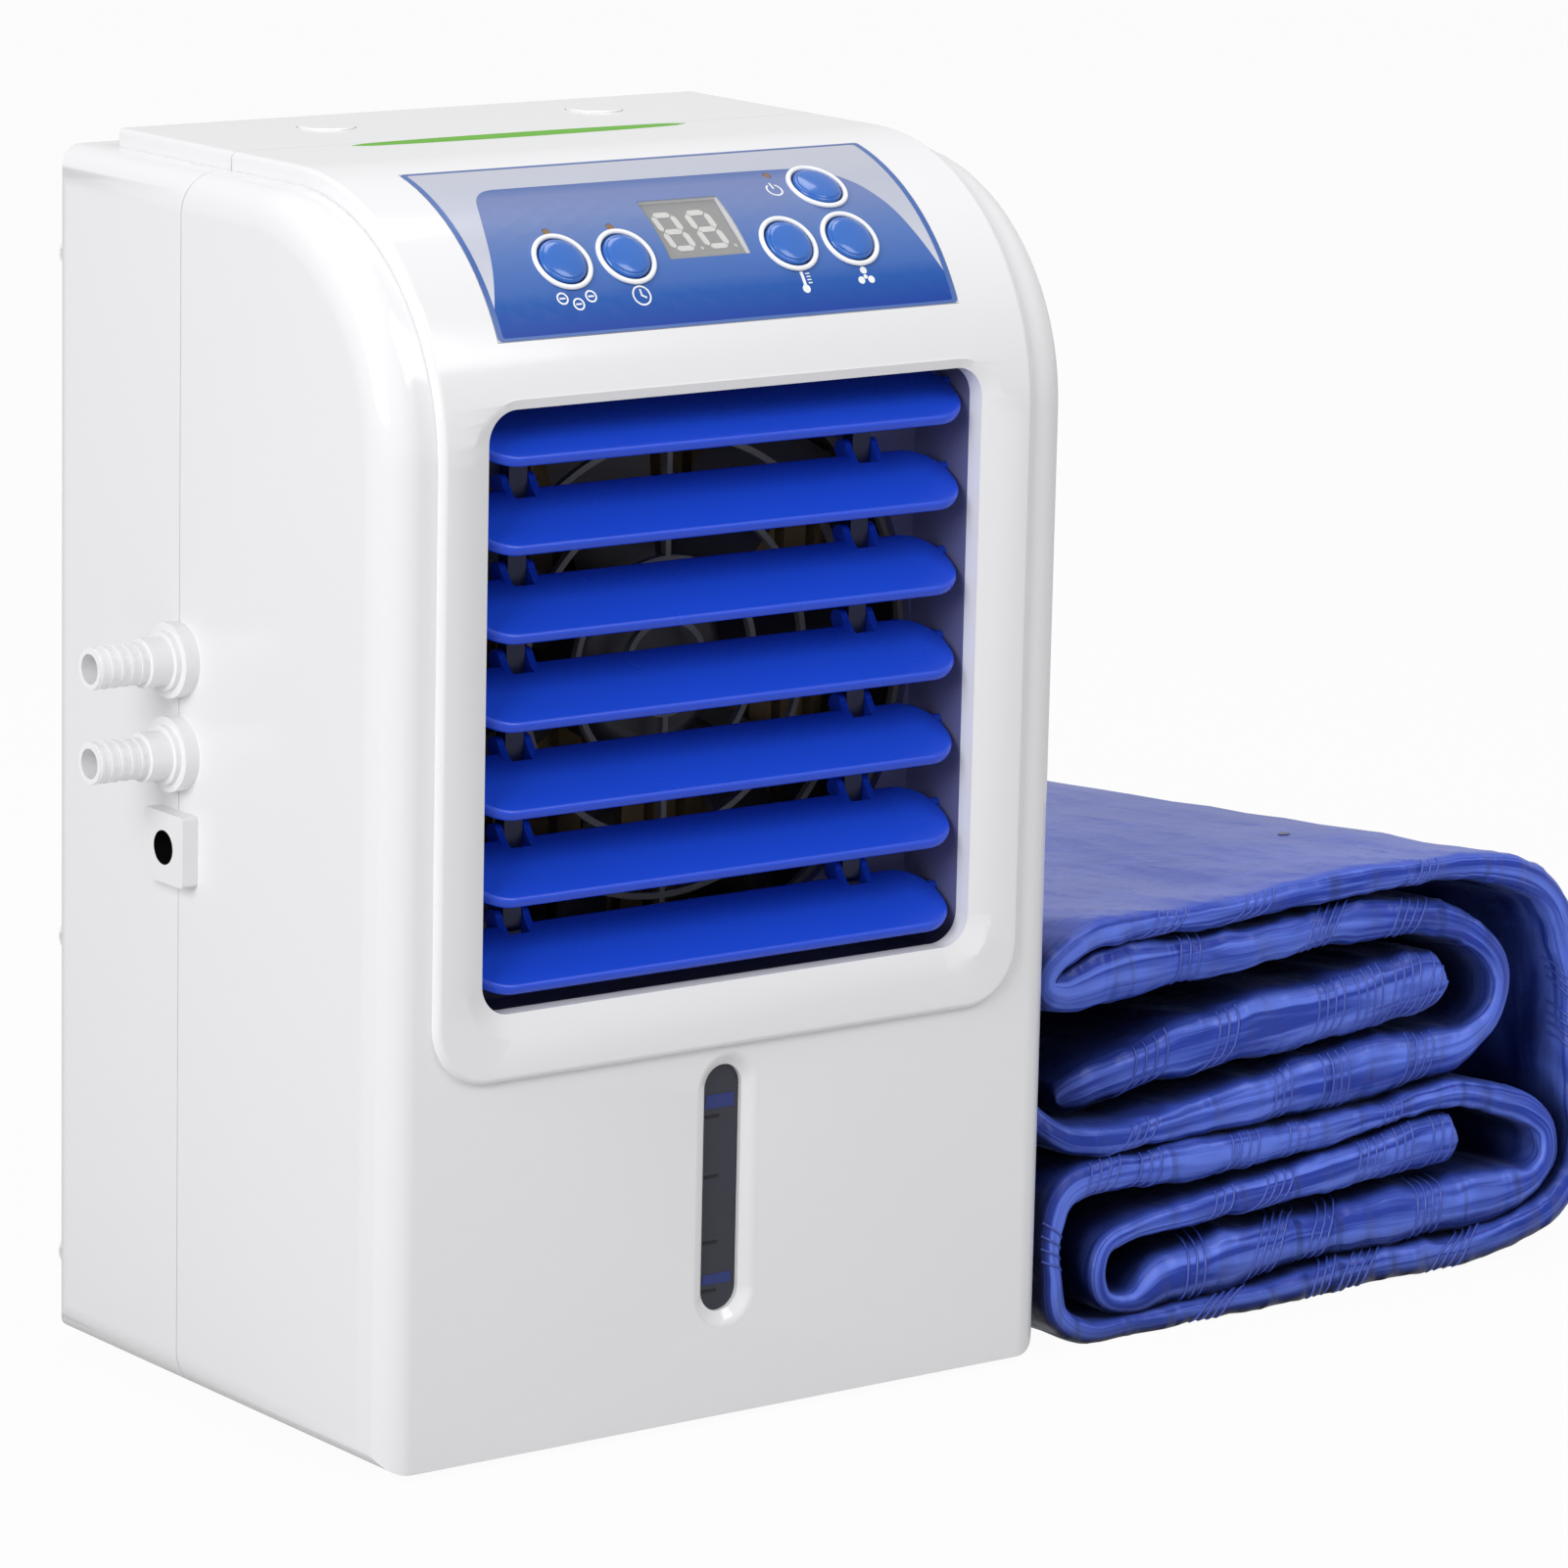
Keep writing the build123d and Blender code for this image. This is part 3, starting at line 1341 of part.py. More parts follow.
slat_zone = grille_height - 2 * grille_border
slat_pitch = (slat_zone + grille_slat_height) / (grille_slat_count + 1)
with BuildPart() as rear_grille:
    with BuildSketch(along_y(back_y)):
        with Locations((0, grille_middle_z)):
            Rectangle(2 * grille_half_width, grille_height)
            with GridLocations(0, slat_pitch, 1, grille_slat_count + 1):
                Rectangle(
                    2 * (grille_half_width - grille_border),
                    slat_pitch - grille_slat_height,
                    mode=Mode.SUBTRACT,
                )
            Rectangle(grille_rib_width, grille_height)
    extrude(amount=grille_thickness)
    bottom_edges = rear_grille.edges().filter_by(Axis.X).group_by(Axis.Z)[0]
    fillet(bottom_edges, grille_thickness / 2 - cover_bottom_flat)
    with BuildSketch(Plane.YZ):
        with Locations((grille_pin_y, grille_pin_z)):
            Circle(grille_pin_radius)
    extrude(amount=grille_half_width + grille_fit + grille_pin_length, both=True)
rear_grille.part.label = "rear_grille"
export_step(rear_grille.part, "parts/rear_grille.step")

with BuildPart() as fill_door:
    with BuildSketch(along_y(back_y)):
        with Locations((0, (door_bottom + door_top) / 2)):
            Rectangle(2 * door_half_width, door_top - door_bottom)
    extrude(amount=door_thickness)
    bottom_edges = fill_door.edges().filter_by(Axis.X).group_by(Axis.Z)[0]
    fillet(bottom_edges, door_thickness / 2 - cover_bottom_flat)
    with BuildSketch(along_y(back_y)):
        with Locations((0, door_top)):
            Circle(door_notch_radius)
    extrude(amount=door_notch_depth, mode=Mode.SUBTRACT)
    with BuildSketch(Plane.YZ):
        with Locations((door_pin_y, door_pin_z)):
            Circle(grille_pin_radius)
    extrude(amount=door_half_width + door_fit + grille_pin_length, both=True)
fill_door.part.label = "fill_door"
export_step(fill_door.part, "parts/fill_door.step")

# Main board, its parts, ion generator, wires and screws
board_top = main_board_z + board_thickness
with BuildPart() as main_board:
    with BuildSketch(Plane.XY.offset(main_board_z)):
        with Locations((0, main_board_y)):
            Rectangle(main_board_width, main_board_depth)
        with Locations(*post_places):
            Circle(board_screw_radius + board_screw_clearance, mode=Mode.SUBTRACT)
    extrude(amount=board_thickness)
main_board.part.label = "main_board"
export_step(main_board.part, "parts/main_board.step")

board_front_y = main_board_y - main_board_depth / 2
wire_x = -connector_width
panel_back = panel_plane(wire_x, display_angle, panel_board_distance - board_thickness)
with BuildPart() as board_parts:
    with BuildSketch(Plane.XY.offset(board_top)):
        with Locations((wire_x, board_front_y + connector_depth / 2)):
            Rectangle(connector_width, connector_depth)
        with Locations((-main_board_width / 2 + connector_depth / 2, main_board_y)):
            Rectangle(connector_depth, connector_width)
        with Locations((relay_x, main_board_y + relay_offset_y)):
            Rectangle(relay_width, relay_depth)
        with Locations((chip_x, main_board_y + chip_offset_y)):
            Rectangle(chip_size, chip_size)
    extrude(amount=connector_height)
    with BuildSketch(Plane.XY.offset(board_top)):
        with Locations((capacitor_x, main_board_y)):
            with GridLocations(0, capacitor_spacing, 1, 2):
                Circle(capacitor_radius)
    extrude(amount=capacitor_height)
    with BuildSketch(panel_back):
        Rectangle(connector_width, connector_depth)
    extrude(amount=-connector_height)
board_parts.part.label = "board_parts"
export_step(board_parts.part, "parts/board_parts.step")

with BuildPart() as board_screws:
    with BuildSketch(Plane.XY.offset(main_board_z)):
        with Locations(*post_places):
            Circle(board_screw_radius)
    extrude(amount=board_thickness + board_screw_length)
    with BuildSketch(Plane.XY.offset(main_board_z)):
        with Locations(*post_places):
            Circle(board_screw_head_radius)
    extrude(amount=-board_screw_head_height)
    with BuildSketch(panel_plane(0, display_angle, panel_board_distance - board_thickness)):
        with Locations(*panel_post_places):
            Circle(board_screw_radius)
    extrude(amount=board_thickness + board_screw_length)
    with BuildSketch(panel_plane(0, display_angle, panel_board_distance - board_thickness)):
        with Locations(*panel_post_places):
            Circle(board_screw_head_radius)
    extrude(amount=-board_screw_head_height)
board_screws.part.label = "board_screws"
export_step(board_screws.part, "parts/board_screws.step")

with BuildPart() as ion_generator:
    with BuildSketch(Plane.XY.offset(fan_z + fan_frame_size / 2)):
        with Locations((ion_box_x, frame_front_y + ion_box_depth / 2 + ion_box_inset)):
            Rectangle(ion_box_width, ion_box_depth)
    extrude(amount=ion_box_height)
    fillet(ion_generator.edges().filter_by(Axis.Z), ion_box_corner)
ion_generator.part.label = "ion_generator"
export_step(ion_generator.part, "parts/ion_generator.step")

wire_out = Vector(*(-panel_back.z_dir))
wire_start = panel_back.origin + wire_out * connector_height
connector_level = board_top + connector_height / 2
wire_side_x = wire_side_gap - half_width
wire_routes = [
    [
        wire_start,
        wire_start + wire_out * wire_straight,
        Vector(wire_x, 0, connector_level),
        Vector(wire_x, board_front_y, connector_level),
    ],
    [
        Vector(barrel_end_x, fitting_y, jack_z),
        Vector(wire_side_x, fitting_y, jack_z),
        Vector(wire_side_x + 2, fitting_y + wire_lane - 1, jack_z + wire_low_rise),
        Vector(wire_side_x, fitting_y + wire_lane, return_z + wire_middle_rise),
        Vector(wire_side_x + 1, fitting_y + wire_lane + 2, main_board_z - wire_high_drop),
        Vector(wire_side_x + 10, main_board_y - 5, main_board_z - 1),
        Vector(-main_board_width / 2 - wire_end_lead, main_board_y, connector_level),
        Vector(-main_board_width / 2, main_board_y, connector_level),
    ],
]
with BuildPart() as wiring:
    for points in wire_routes:
        runs = [b - a for a, b in zip(points, points[1:])]
        radii = [
            bend_share * min(a.length, b.length) / tan(radians(a.get_angle(b) / 2))
            for a, b in zip(runs, runs[1:])
        ]
        with BuildLine() as wire_line:
            FilletPolyline(*points, radius=radii)
        with BuildSketch(Plane(origin=points[0], z_dir=runs[0])):
            Circle(wire_radius)
        sweep(path=wire_line.line)
wiring.part.label = "wiring"
export_step(wiring.part, "parts/wiring.step")

with BuildPart() as shell_screws:
    with BuildSketch(along_y(back_y - screw_recess_depth)):
        with Locations(*boss_places):
            Circle(screw_radius)
    extrude(amount=back_y - screw_recess_depth - split_y + screw_grip)
    with BuildSketch(along_y(back_y - screw_recess_depth)):
        with Locations(*boss_places):
            Circle(screw_head_radius)
    extrude(amount=-screw_head_height)
shell_screws.part.label = "shell_screws"
export_step(shell_screws.part, "parts/shell_screws.step")

# Folded mattress pad: the strip's path in front view, then its thick inner bundles
pad_arms = [
    (9, pad_ply), (8, pad_ply), (7, pad_bundle), (6, pad_ply),
    (5, pad_ply), (4, pad_bundle), (2, pad_ply), (1, pad_ply),
]
pad_turns = {
    (7, 8): (pad_left + pad_inner_left_inset, 1),
    (8, 6): (pad_right - pad_inner_right_inset, -1),
    (6, 9): (pad_left, 1),
    (1, 2): (pad_left, 1),
    (2, 5): (pad_right - pad_upper_right_inset, -1),
    (5, 4): (pad_left, 1),
}


def pad_section(squeeze):
    """Front view of the folded strip, drawn from its inner end outwards and flattened by a factor."""
    ply = pad_ply * squeeze
    bundle = pad_bundle * squeeze
    corner = pad_corner_radius * squeeze
    bundle_right = pad_right - pad_bundle_inset - bundle / 2
    corner_x = pad_right - ply / 2 - corner
    outer_x = pad_right - ply / 2
    levels = {}
    level = 0.0
    for arm, thickness in pad_arms:
        levels[arm] = level + thickness * squeeze / 2
        level += (thickness + pad_layer_gap) * squeeze

    def fold(place, turn):
        """One arm and the turn at its end, from a place; returns the next arm's first place."""
        start, end = turn
        edge, inward = pad_turns[turn]
        rise = (levels[end] - levels[start]) / 2
        x = edge + inward * (abs(rise) + ply / 2)
        Line(place, (x, levels[start]))
        middle = (x - inward * abs(rise), levels[start] + rise)
        ThreePointArc((x, levels[start]), middle, (x, levels[end]))
        return x, levels[end]

    with BuildSketch() as section:
        with BuildLine() as path:
            place = (bundle_right, levels[7])
            for turn in ((7, 8), (8, 6), (6, 9)):
                place = fold(place, turn)
            low_corner = (corner_x, levels[9])
            low_side = (outer_x, levels[9] + corner)
            high_side = (outer_x, levels[1] - corner)
            high_corner = (corner_x, levels[1])
            Line(place, low_corner)
            RadiusArc(low_corner, low_side, -corner)
            Line(low_side, high_side)
            RadiusArc(high_side, high_corner, -corner)
            place = high_corner
            for turn in ((1, 2), (2, 5), (5, 4)):
                place = fold(place, turn)
            Line(place, (bundle_right, levels[4]))
        trace(path.line, line_width=ply)
        for arm, turn in ((7, (7, 8)), (4, (5, 4))):
            bundle_left = pad_turns[turn][0] + pad_bundle_lead
            with Locations(((bundle_left + bundle_right) / 2, levels[arm])):
                SlotCenterToCenter(bundle_right - bundle_left, bundle)
    print("pad strip length", round(sum(edge.length for edge in path.edges()), 1))
    return section.sketch


with BuildPart() as mattress_pad:
    with BuildSketch(along_y(pad_front_y)):
        add(pad_section(1.0))
    with BuildSketch(along_y(pad_front_y + pad_depth)):
        add(pad_section(pad_back_squeeze))
    loft(ruled=True)
mattress_pad.part.label = "mattress_pad"
export_step(mattress_pad.part, "parts/mattress_pad.step")
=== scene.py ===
import json
import math

import bmesh
import bpy
from mathutils import Matrix, Vector, noise
from mathutils.bvhtree import BVHTree
from mathutils.geometry import delaunay_2d_cdt

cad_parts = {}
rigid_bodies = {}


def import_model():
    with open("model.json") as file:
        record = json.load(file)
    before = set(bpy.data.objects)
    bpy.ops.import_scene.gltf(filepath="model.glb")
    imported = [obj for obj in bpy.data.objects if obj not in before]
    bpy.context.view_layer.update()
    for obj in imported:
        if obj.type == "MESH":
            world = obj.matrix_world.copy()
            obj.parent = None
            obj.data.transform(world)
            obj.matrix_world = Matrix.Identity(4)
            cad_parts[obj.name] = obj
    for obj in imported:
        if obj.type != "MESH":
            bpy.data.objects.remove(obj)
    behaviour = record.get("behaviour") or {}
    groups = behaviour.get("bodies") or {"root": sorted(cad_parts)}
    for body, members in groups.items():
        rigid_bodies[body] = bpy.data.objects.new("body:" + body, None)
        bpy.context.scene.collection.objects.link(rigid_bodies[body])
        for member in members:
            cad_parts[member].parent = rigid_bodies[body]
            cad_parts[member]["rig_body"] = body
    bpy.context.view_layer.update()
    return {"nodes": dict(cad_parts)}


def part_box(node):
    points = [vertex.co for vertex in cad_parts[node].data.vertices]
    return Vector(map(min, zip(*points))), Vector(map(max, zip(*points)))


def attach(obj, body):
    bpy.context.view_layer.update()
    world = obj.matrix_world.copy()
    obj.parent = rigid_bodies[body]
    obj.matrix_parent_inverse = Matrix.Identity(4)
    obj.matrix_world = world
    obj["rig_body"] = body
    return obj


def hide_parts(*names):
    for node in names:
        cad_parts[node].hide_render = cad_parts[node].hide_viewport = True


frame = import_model()
nodes = frame["nodes"]
scene = bpy.context.scene


# Camera and studio. A long lens looks down a little on the unit and the pad from the left,
# and both stand on a wide sheet of white paper that is the background too.
# Three large soft boxes and a dim white room light them, the strongest one from the left.
def linear(colour):
    """Linear RGBA of an sRGB hex colour."""
    channels = [int(colour[i:i + 2], 16) / 255 for i in (0, 2, 4)]
    return (*[c / 12.92 if c <= 0.04045 else ((c + 0.055) / 1.055) ** 2.4 for c in channels], 1.0)


def add_node(tree, kind, inputs=(), **settings):
    """Add a node, set its options, and give each named input a value or a link."""
    new = tree.nodes.new(kind)
    for option, value in settings.items():
        setattr(new, option, value)
    for socket, value in dict(inputs).items():
        if isinstance(value, bpy.types.NodeSocket):
            tree.links.new(value, new.inputs[socket])
        else:
            new.inputs[socket].default_value = value
    return new


def worked_out(tree, operation, *terms):
    """Result of a math node on numbers and sockets."""
    return add_node(tree, "ShaderNodeMath", enumerate(terms), operation=operation).outputs[0]


def ranged(tree, value, low, high, start=0.0, end=1.0):
    """A value that runs from start to end, stretched to run from low to high."""
    return add_node(
        tree, "ShaderNodeMapRange",
        {"Value": value, "From Min": start, "From Max": end, "To Min": low, "To Max": high},
    ).outputs["Result"]


def blended(tree, share, first, second, kind="RGBA"):
    """Mix of two colours or two numbers."""
    return add_node(
        tree, "ShaderNodeMix", {"Factor": share, "A": first, "B": second}, data_type=kind
    ).outputs["Result"]


def noisy(tree, place, scale, detail=2.0, distortion=0.0, **settings):
    """Cloudy noise at a place in space or on the cloth."""
    return add_node(
        tree, "ShaderNodeTexNoise",
        {"Vector": place, "Scale": scale, "Detail": detail, "Distortion": distortion}, **settings,
    ).outputs["Fac"]


def bumped(tree, height, distance, strength=1.0, **under):
    """Normal of bumps of a height in metres, over the bumps under them."""
    return add_node(
        tree, "ShaderNodeBump",
        {"Height": height, "Distance": distance, "Strength": strength, **under},
    ).outputs["Normal"]


def dress(tree, looks, **sockets):
    """Join looks to the tree's shader, and set other sockets of it by value."""
    shader = tree.nodes["Principled BSDF"]
    for socket, look in looks.items():
        tree.links.new(look, shader.inputs[socket])
    for socket, value in sockets.items():
        shader.inputs[socket.replace("_", " ")].default_value = value


def object_place(tree):
    """Place on the object, in metres."""
    return add_node(tree, "ShaderNodeTexCoord").outputs["Object"]


def new_object(name, data):
    """Object with its data, linked into the scene."""
    made = bpy.data.objects.new(name, data)
    scene.collection.objects.link(made)
    return made


view_yaw, view_pitch, view_roll = -37.0, 12.02, 1.25
lens_data = bpy.data.cameras.new("camera")
lens_data.lens = 167.76
lens_data.sensor_width = 36.0
lens_data.clip_end = 60.0
camera = new_object("camera", lens_data)
camera.matrix_world = (
    Matrix.Translation((-1.0551, -1.4976, 0.5415))
    @ Matrix.Rotation(math.radians(view_yaw), 4, "Z")
    @ Matrix.Rotation(math.radians(90 - view_pitch), 4, "X")
    @ Matrix.Rotation(math.radians(view_roll), 4, "Z")
)
scene.camera = camera
scene.view_settings.view_transform = "Standard"

room_light, mirror_light = 0.36, 0.62
room = bpy.data.worlds.new("white_room")
room.use_nodes = True
room_tree = room.node_tree
room_tree.nodes.clear()
seen = add_node(room_tree, "ShaderNodeLightPath").outputs
room_shown = worked_out(
    room_tree, "MAXIMUM",
    worked_out(
        room_tree, "MULTIPLY_ADD", seen["Is Glossy Ray"], mirror_light, seen["Is Camera Ray"]
    ),
    seen["Is Transmission Ray"],
)
room_back = add_node(
    room_tree, "ShaderNodeBackground",
    {"Color": linear("FFFFFF"), "Strength": ranged(room_tree, room_shown, room_light, 1.0)},
)
add_node(room_tree, "ShaderNodeOutputWorld", {"Surface": room_back.outputs[0]})
scene.world = room

studio_aim = Vector((0.05, 0, 0.15))
soft_boxes = [
    ("key_box", (-1.5, -0.58, 0.88), 0.9, 18.5),
    ("front_box", (0.5, -1.2, 1.35), 0.8, 8.5),
    ("top_box", (0.35, 0.25, 1.7), 0.8, 7.0),
]
for box_name, place, size, power in soft_boxes:
    lamp = bpy.data.lights.new(box_name, "AREA")
    lamp.shape = "SQUARE"
    lamp.size = size
    lamp.energy = power
    new_object(box_name, lamp).matrix_world = Matrix.Translation(place) @ (
        (studio_aim - Vector(place)).to_track_quat("-Z", "Y").to_matrix().to_4x4()
    )

corner_signs = ((-1, -1), (1, -1), (1, 1), (-1, 1))
paper_size = 14.0
paper_mesh = bpy.data.meshes.new("paper_floor")
paper_mesh.from_pydata(
    [(i * paper_size, k * paper_size, 0) for i, k in corner_signs], [], [(0, 1, 2, 3)]
)
paper = bpy.data.materials.new("matt_white_paper")
paper.use_nodes = True
paper_tree = paper.node_tree
paper_tree.nodes.clear()
paper_fibre = noisy(paper_tree, object_place(paper_tree), 300.0)
paper_tone = blended(paper_tree, paper_fibre, linear("C6C6C6"), linear("CECECE"))
paper_matt = add_node(paper_tree, "ShaderNodeBsdfDiffuse", {"Color": paper_tone})
# The camera sees the paper nearly pure white, and polished faces mirror it darker than that.
paper_seen_white, paper_mirrored = 0.96, 0.52
paper_seen = add_node(paper_tree, "ShaderNodeLightPath").outputs
paper_white = add_node(
    paper_tree, "ShaderNodeEmission",
    {
        "Color": linear("FFFFFF"),
        "Strength": ranged(paper_tree, paper_seen["Is Glossy Ray"], 1.0, paper_mirrored),
    },
)
paper_direct = worked_out(
    paper_tree, "MAXIMUM", paper_seen["Is Camera Ray"], paper_seen["Is Transmission Ray"]
)
paper_share = worked_out(
    paper_tree, "MULTIPLY_ADD", paper_direct, paper_seen_white, paper_seen["Is Glossy Ray"]
)
paper_mix = add_node(
    paper_tree, "ShaderNodeMixShader",
    {0: paper_share, 1: paper_matt.outputs[0], 2: paper_white.outputs[0]},
)
add_node(paper_tree, "ShaderNodeOutputMaterial", {"Surface": paper_mix.outputs[0]})
paper_mesh.materials.append(paper)
paper_floor = new_object("paper_floor", paper_mesh)


# Casing. Two glossy white ABS shells, moulded in polished tools, meet in a fine seam round the
# middle of the unit. Round the top runs a strip of green ink, drawn out to nothing at both ends.
cloud_scale = 22.0
gloss_low, gloss_high = 0.9, 1.15


def moulded(name, colour, roughness, grain, depth, drift=0.96, **sockets):
    """Moulded plastic: colour and gloss drift a little, and the skin has a grain, sized in mm."""
    material = bpy.data.materials.new(name)
    material.use_nodes = True
    tree = material.node_tree
    place = object_place(tree)
    cloud = noisy(tree, place, cloud_scale, 3.0)
    darker = (*[c * drift for c in linear(colour)[:3]], 1.0)
    looks = {
        "Base Color": blended(tree, cloud, darker, linear(colour)),
        "Roughness": ranged(tree, cloud, roughness * gloss_low, roughness * gloss_high),
        "Normal": bumped(tree, noisy(tree, place, 1000.0 / grain), depth / 1000),
    }
    dress(tree, looks, **sockets)
    return material


smooth_below = 38.0
weld_gap = 2e-6


def taken(build, name):
    """Mesh of a finished build, with its faces turned outwards."""
    bmesh.ops.recalc_face_normals(build, faces=build.faces)
    mesh = bpy.data.meshes.new(name)
    build.to_mesh(mesh)
    build.free()
    return mesh


def finished(node, material):
    """Copy of a CAD piece, its curved faces shaded smooth and its large flat faces kept flat."""
    mesh = nodes[node].data.copy()
    if "custom_normal" in mesh.attributes:
        mesh.attributes.remove(mesh.attributes["custom_normal"])
    build = bmesh.new()
    build.from_mesh(mesh)
    bmesh.ops.remove_doubles(build, verts=build.verts, dist=weld_gap)
    for edge in build.edges:
        edge.smooth = edge.calc_face_angle(math.pi) < math.radians(smooth_below)
    for face in build.faces:
        face.smooth = True
    build.to_mesh(mesh)
    build.free()
    mesh.materials.clear()
    mesh.materials.append(material)
    copy = new_object(f"{node}_moulded", mesh)
    led_by_area = copy.modifiers.new("led_by_area", "WEIGHTED_NORMAL")
    led_by_area.keep_sharp = True
    shaded = copy.evaluated_get(bpy.context.evaluated_depsgraph_get())
    shaded_mesh = bpy.data.meshes.new_from_object(shaded)
    copy.modifiers.remove(led_by_area)
    copy.data = shaded_mesh
    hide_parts(node)
    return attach(copy, nodes[node]["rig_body"])


# Polished ABS: a clear gloss with a very slight flow of the surface.
abs_white = moulded("polished_abs_white", "EFEFF1", 0.12, 14.0, 0.03, 0.985, IOR=1.54)
for shell in ("front_shell", "rear_shell"):
    finished(shell, abs_white)


def place_piece(name, mesh, material, body):
    """Put a finished mesh into the scene on one of the CAD's bodies."""
    mesh.materials.clear()
    mesh.materials.append(material)
    piece = new_object(name, mesh)
    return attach(piece, body)


def add_plate(build, outline, low_height, high_height, to_place):
    """Add a closed plate: a flat outline in mm, put in place by a function of (x, y, height)."""
    low, high = (
        [build.verts.new(to_place(x, y, height)) for x, y in outline]
        for height in (low_height, high_height)
    )
    build.faces.new(high)
    build.faces.new(low[::-1])
    for i in range(len(outline)):
        k = (i + 1) % len(outline)
        build.faces.new((low[i], low[k], high[k], high[i]))


def plate(name, outline, thickness, to_place):
    """Mesh of one thin plate that lies on its place."""
    build = bmesh.new()
    add_plate(build, outline, 0.0, thickness, to_place)
    bmesh.ops.recalc_face_normals(build, faces=build.faces)
    bmesh.ops.triangulate(build, faces=build.faces)
    return taken(build, name)


casing_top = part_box("rear_shell")[1].z * 1000
stripe_left, stripe_right, stripe_y, stripe_half = -57.0, 45.5, 11.0, 3.9
stripe_steps, stripe_taper = 24, 0.35
stripe_height = 0.06
stripe_edge = []
for side in (-1, 1):
    for i in range(stripe_steps + 1):
        share = i / stripe_steps if side < 0 else 1 - i / stripe_steps
        swell = math.sin(math.pi * share) ** stripe_taper
        if side > 0 and i in (0, stripe_steps):
            continue
        x = stripe_left + share * (stripe_right - stripe_left)
        stripe_edge.append((x, stripe_y + side * stripe_half * swell))
stripe_mesh = plate(
    "green_stripe", stripe_edge, stripe_height,
    lambda x, y, height: (x / 1000, y / 1000, (casing_top + height) / 1000),
)
# Screen ink on the gloss: a duller sheen, a clear leaf green.
green_ink = moulded("screen_ink_green", "6DB23A", 0.6, 0.8, 0.01, 0.9, IOR=1.3)
place_piece("green_stripe", stripe_mesh, green_ink, "unit")


# Control panel film. A printed polyester sheet is glued into a shallow recess on the curve:
# silver ground, a blue field that spreads to the full width at the bottom, and a blue border.
panel_radius = 66.0
axis_y, axis_z = -13.5, 250.5


def on_panel(x, run, height):
    """Point on the panel's curve, in metres, from x, run along the curve and height in mm."""
    angle = run / panel_radius
    reach = panel_radius + height
    y, z = axis_y - reach * math.cos(angle), axis_z + reach * math.sin(angle)
    return (x / 1000, y / 1000, z / 1000)


def directions_at(angle):
    """Directions out of the panel and up along it, at an angle in degrees."""
    lean = math.radians(angle)
    out = Vector((0, -math.cos(lean), math.sin(lean)))
    return out, out.cross(Vector((1, 0, 0)))


def run_at(angle):
    """Run along the curve at an angle in degrees."""
    return panel_radius * math.radians(angle)


def inside(point, outline):
    """True where a point is inside an outline."""
    x, y = point
    found = False
    for (ax, ay), (bx, by) in zip(outline, outline[1:] + outline[:1]):
        if (ay > y) != (by > y) and x < (bx - ax) * (y - ay) / (by - ay) + ax:
            found = not found
    return found


edge_step = 1.0
print_step, print_step_across = 2.4, 9.6
ink_thickness = 0.05


def close_steps(ring):
    """Outline with its long edges split, so that it follows the curve."""
    points = []
    for (ax, ay), (bx, by) in zip(ring, [*ring[1:], ring[0]]):
        count = max(1, math.ceil(abs(by - ay) / edge_step))
        points += [(ax + (bx - ax) * i / count, ay + (by - ay) * i / count) for i in range(count)]
    return points


def print_on_panel(name, outline, holes, lift, material):
    """Ink on the film: an outline with holes, bent to the curve, with a little thickness."""
    points, edges = [], []
    for ring in map(close_steps, (outline, *holes)):
        start = len(points)
        points += [Vector(p) for p in ring]
        edges += [(start + i, start + (i + 1) % len(ring)) for i in range(len(ring))]

    def printed(spot):
        return inside(spot, outline) and not any(inside(spot, hole) for hole in holes)

    (low_x, high_x), (low_y, high_y) = ((min(axis), max(axis)) for axis in zip(*outline))
    for i in range(1, int((high_y - low_y) / print_step) + 1):
        for k in range(int((high_x - low_x) / print_step_across) + 1):
            spot = (low_x + (k + 0.5 * (i % 2)) * print_step_across, low_y + i * print_step)
            if printed(spot):
                points.append(Vector(spot))
    flat, _, faces, *_ = delaunay_2d_cdt(points, edges, [], 0, 1e-5)
    build = bmesh.new()
    corners = [build.verts.new((p.x, p.y, 0)) for p in flat]
    for face in faces:
        if printed(sum((flat[i] for i in face), Vector((0, 0))) / len(face)):
            build.faces.new([corners[i] for i in face])
    bmesh.ops.delete(build, geom=[v for v in build.verts if not v.link_faces], context="VERTS")
    bmesh.ops.recalc_face_normals(build, faces=build.faces)
    top = list(build.faces)
    if top[0].normal.z < 0:
        bmesh.ops.reverse_faces(build, faces=top)
    base = bmesh.ops.duplicate(build, geom=list(build.verts) + list(build.edges) + top)
    lower = base["vert_map"]
    base_faces = [g for g in base["geom"] if isinstance(g, bmesh.types.BMFace)]
    bmesh.ops.reverse_faces(build, faces=base_faces)
    rim = [
        edge.verts for edge in build.edges
        if edge.is_boundary and edge.verts[0] in lower and edge.link_faces[0] in top
    ]
    for a, b in rim:
        build.faces.new((a, b, lower[b], lower[a]))
    top_verts = {v for f in top for v in f.verts}
    for vert in build.verts:
        height = lift if vert in top_verts else lift - ink_thickness
        vert.co = on_panel(vert.co.x, vert.co.y, height)
    mesh = taken(build, name)
    for polygon in mesh.polygons:
        polygon.use_smooth = False
    place_piece(name, mesh, material, "unit")


def disc(x, y, radius, count=20, start=0.0, sweep=360.0):
    """Round dot, or the points along an arc."""
    angles = [math.radians(start + sweep * i / count) for i in range(count + (sweep < 360))]
    return [(x + radius * math.cos(a), y + radius * math.sin(a)) for a in angles]


panel_low_z, panel_high_z = 279.0, 315.0


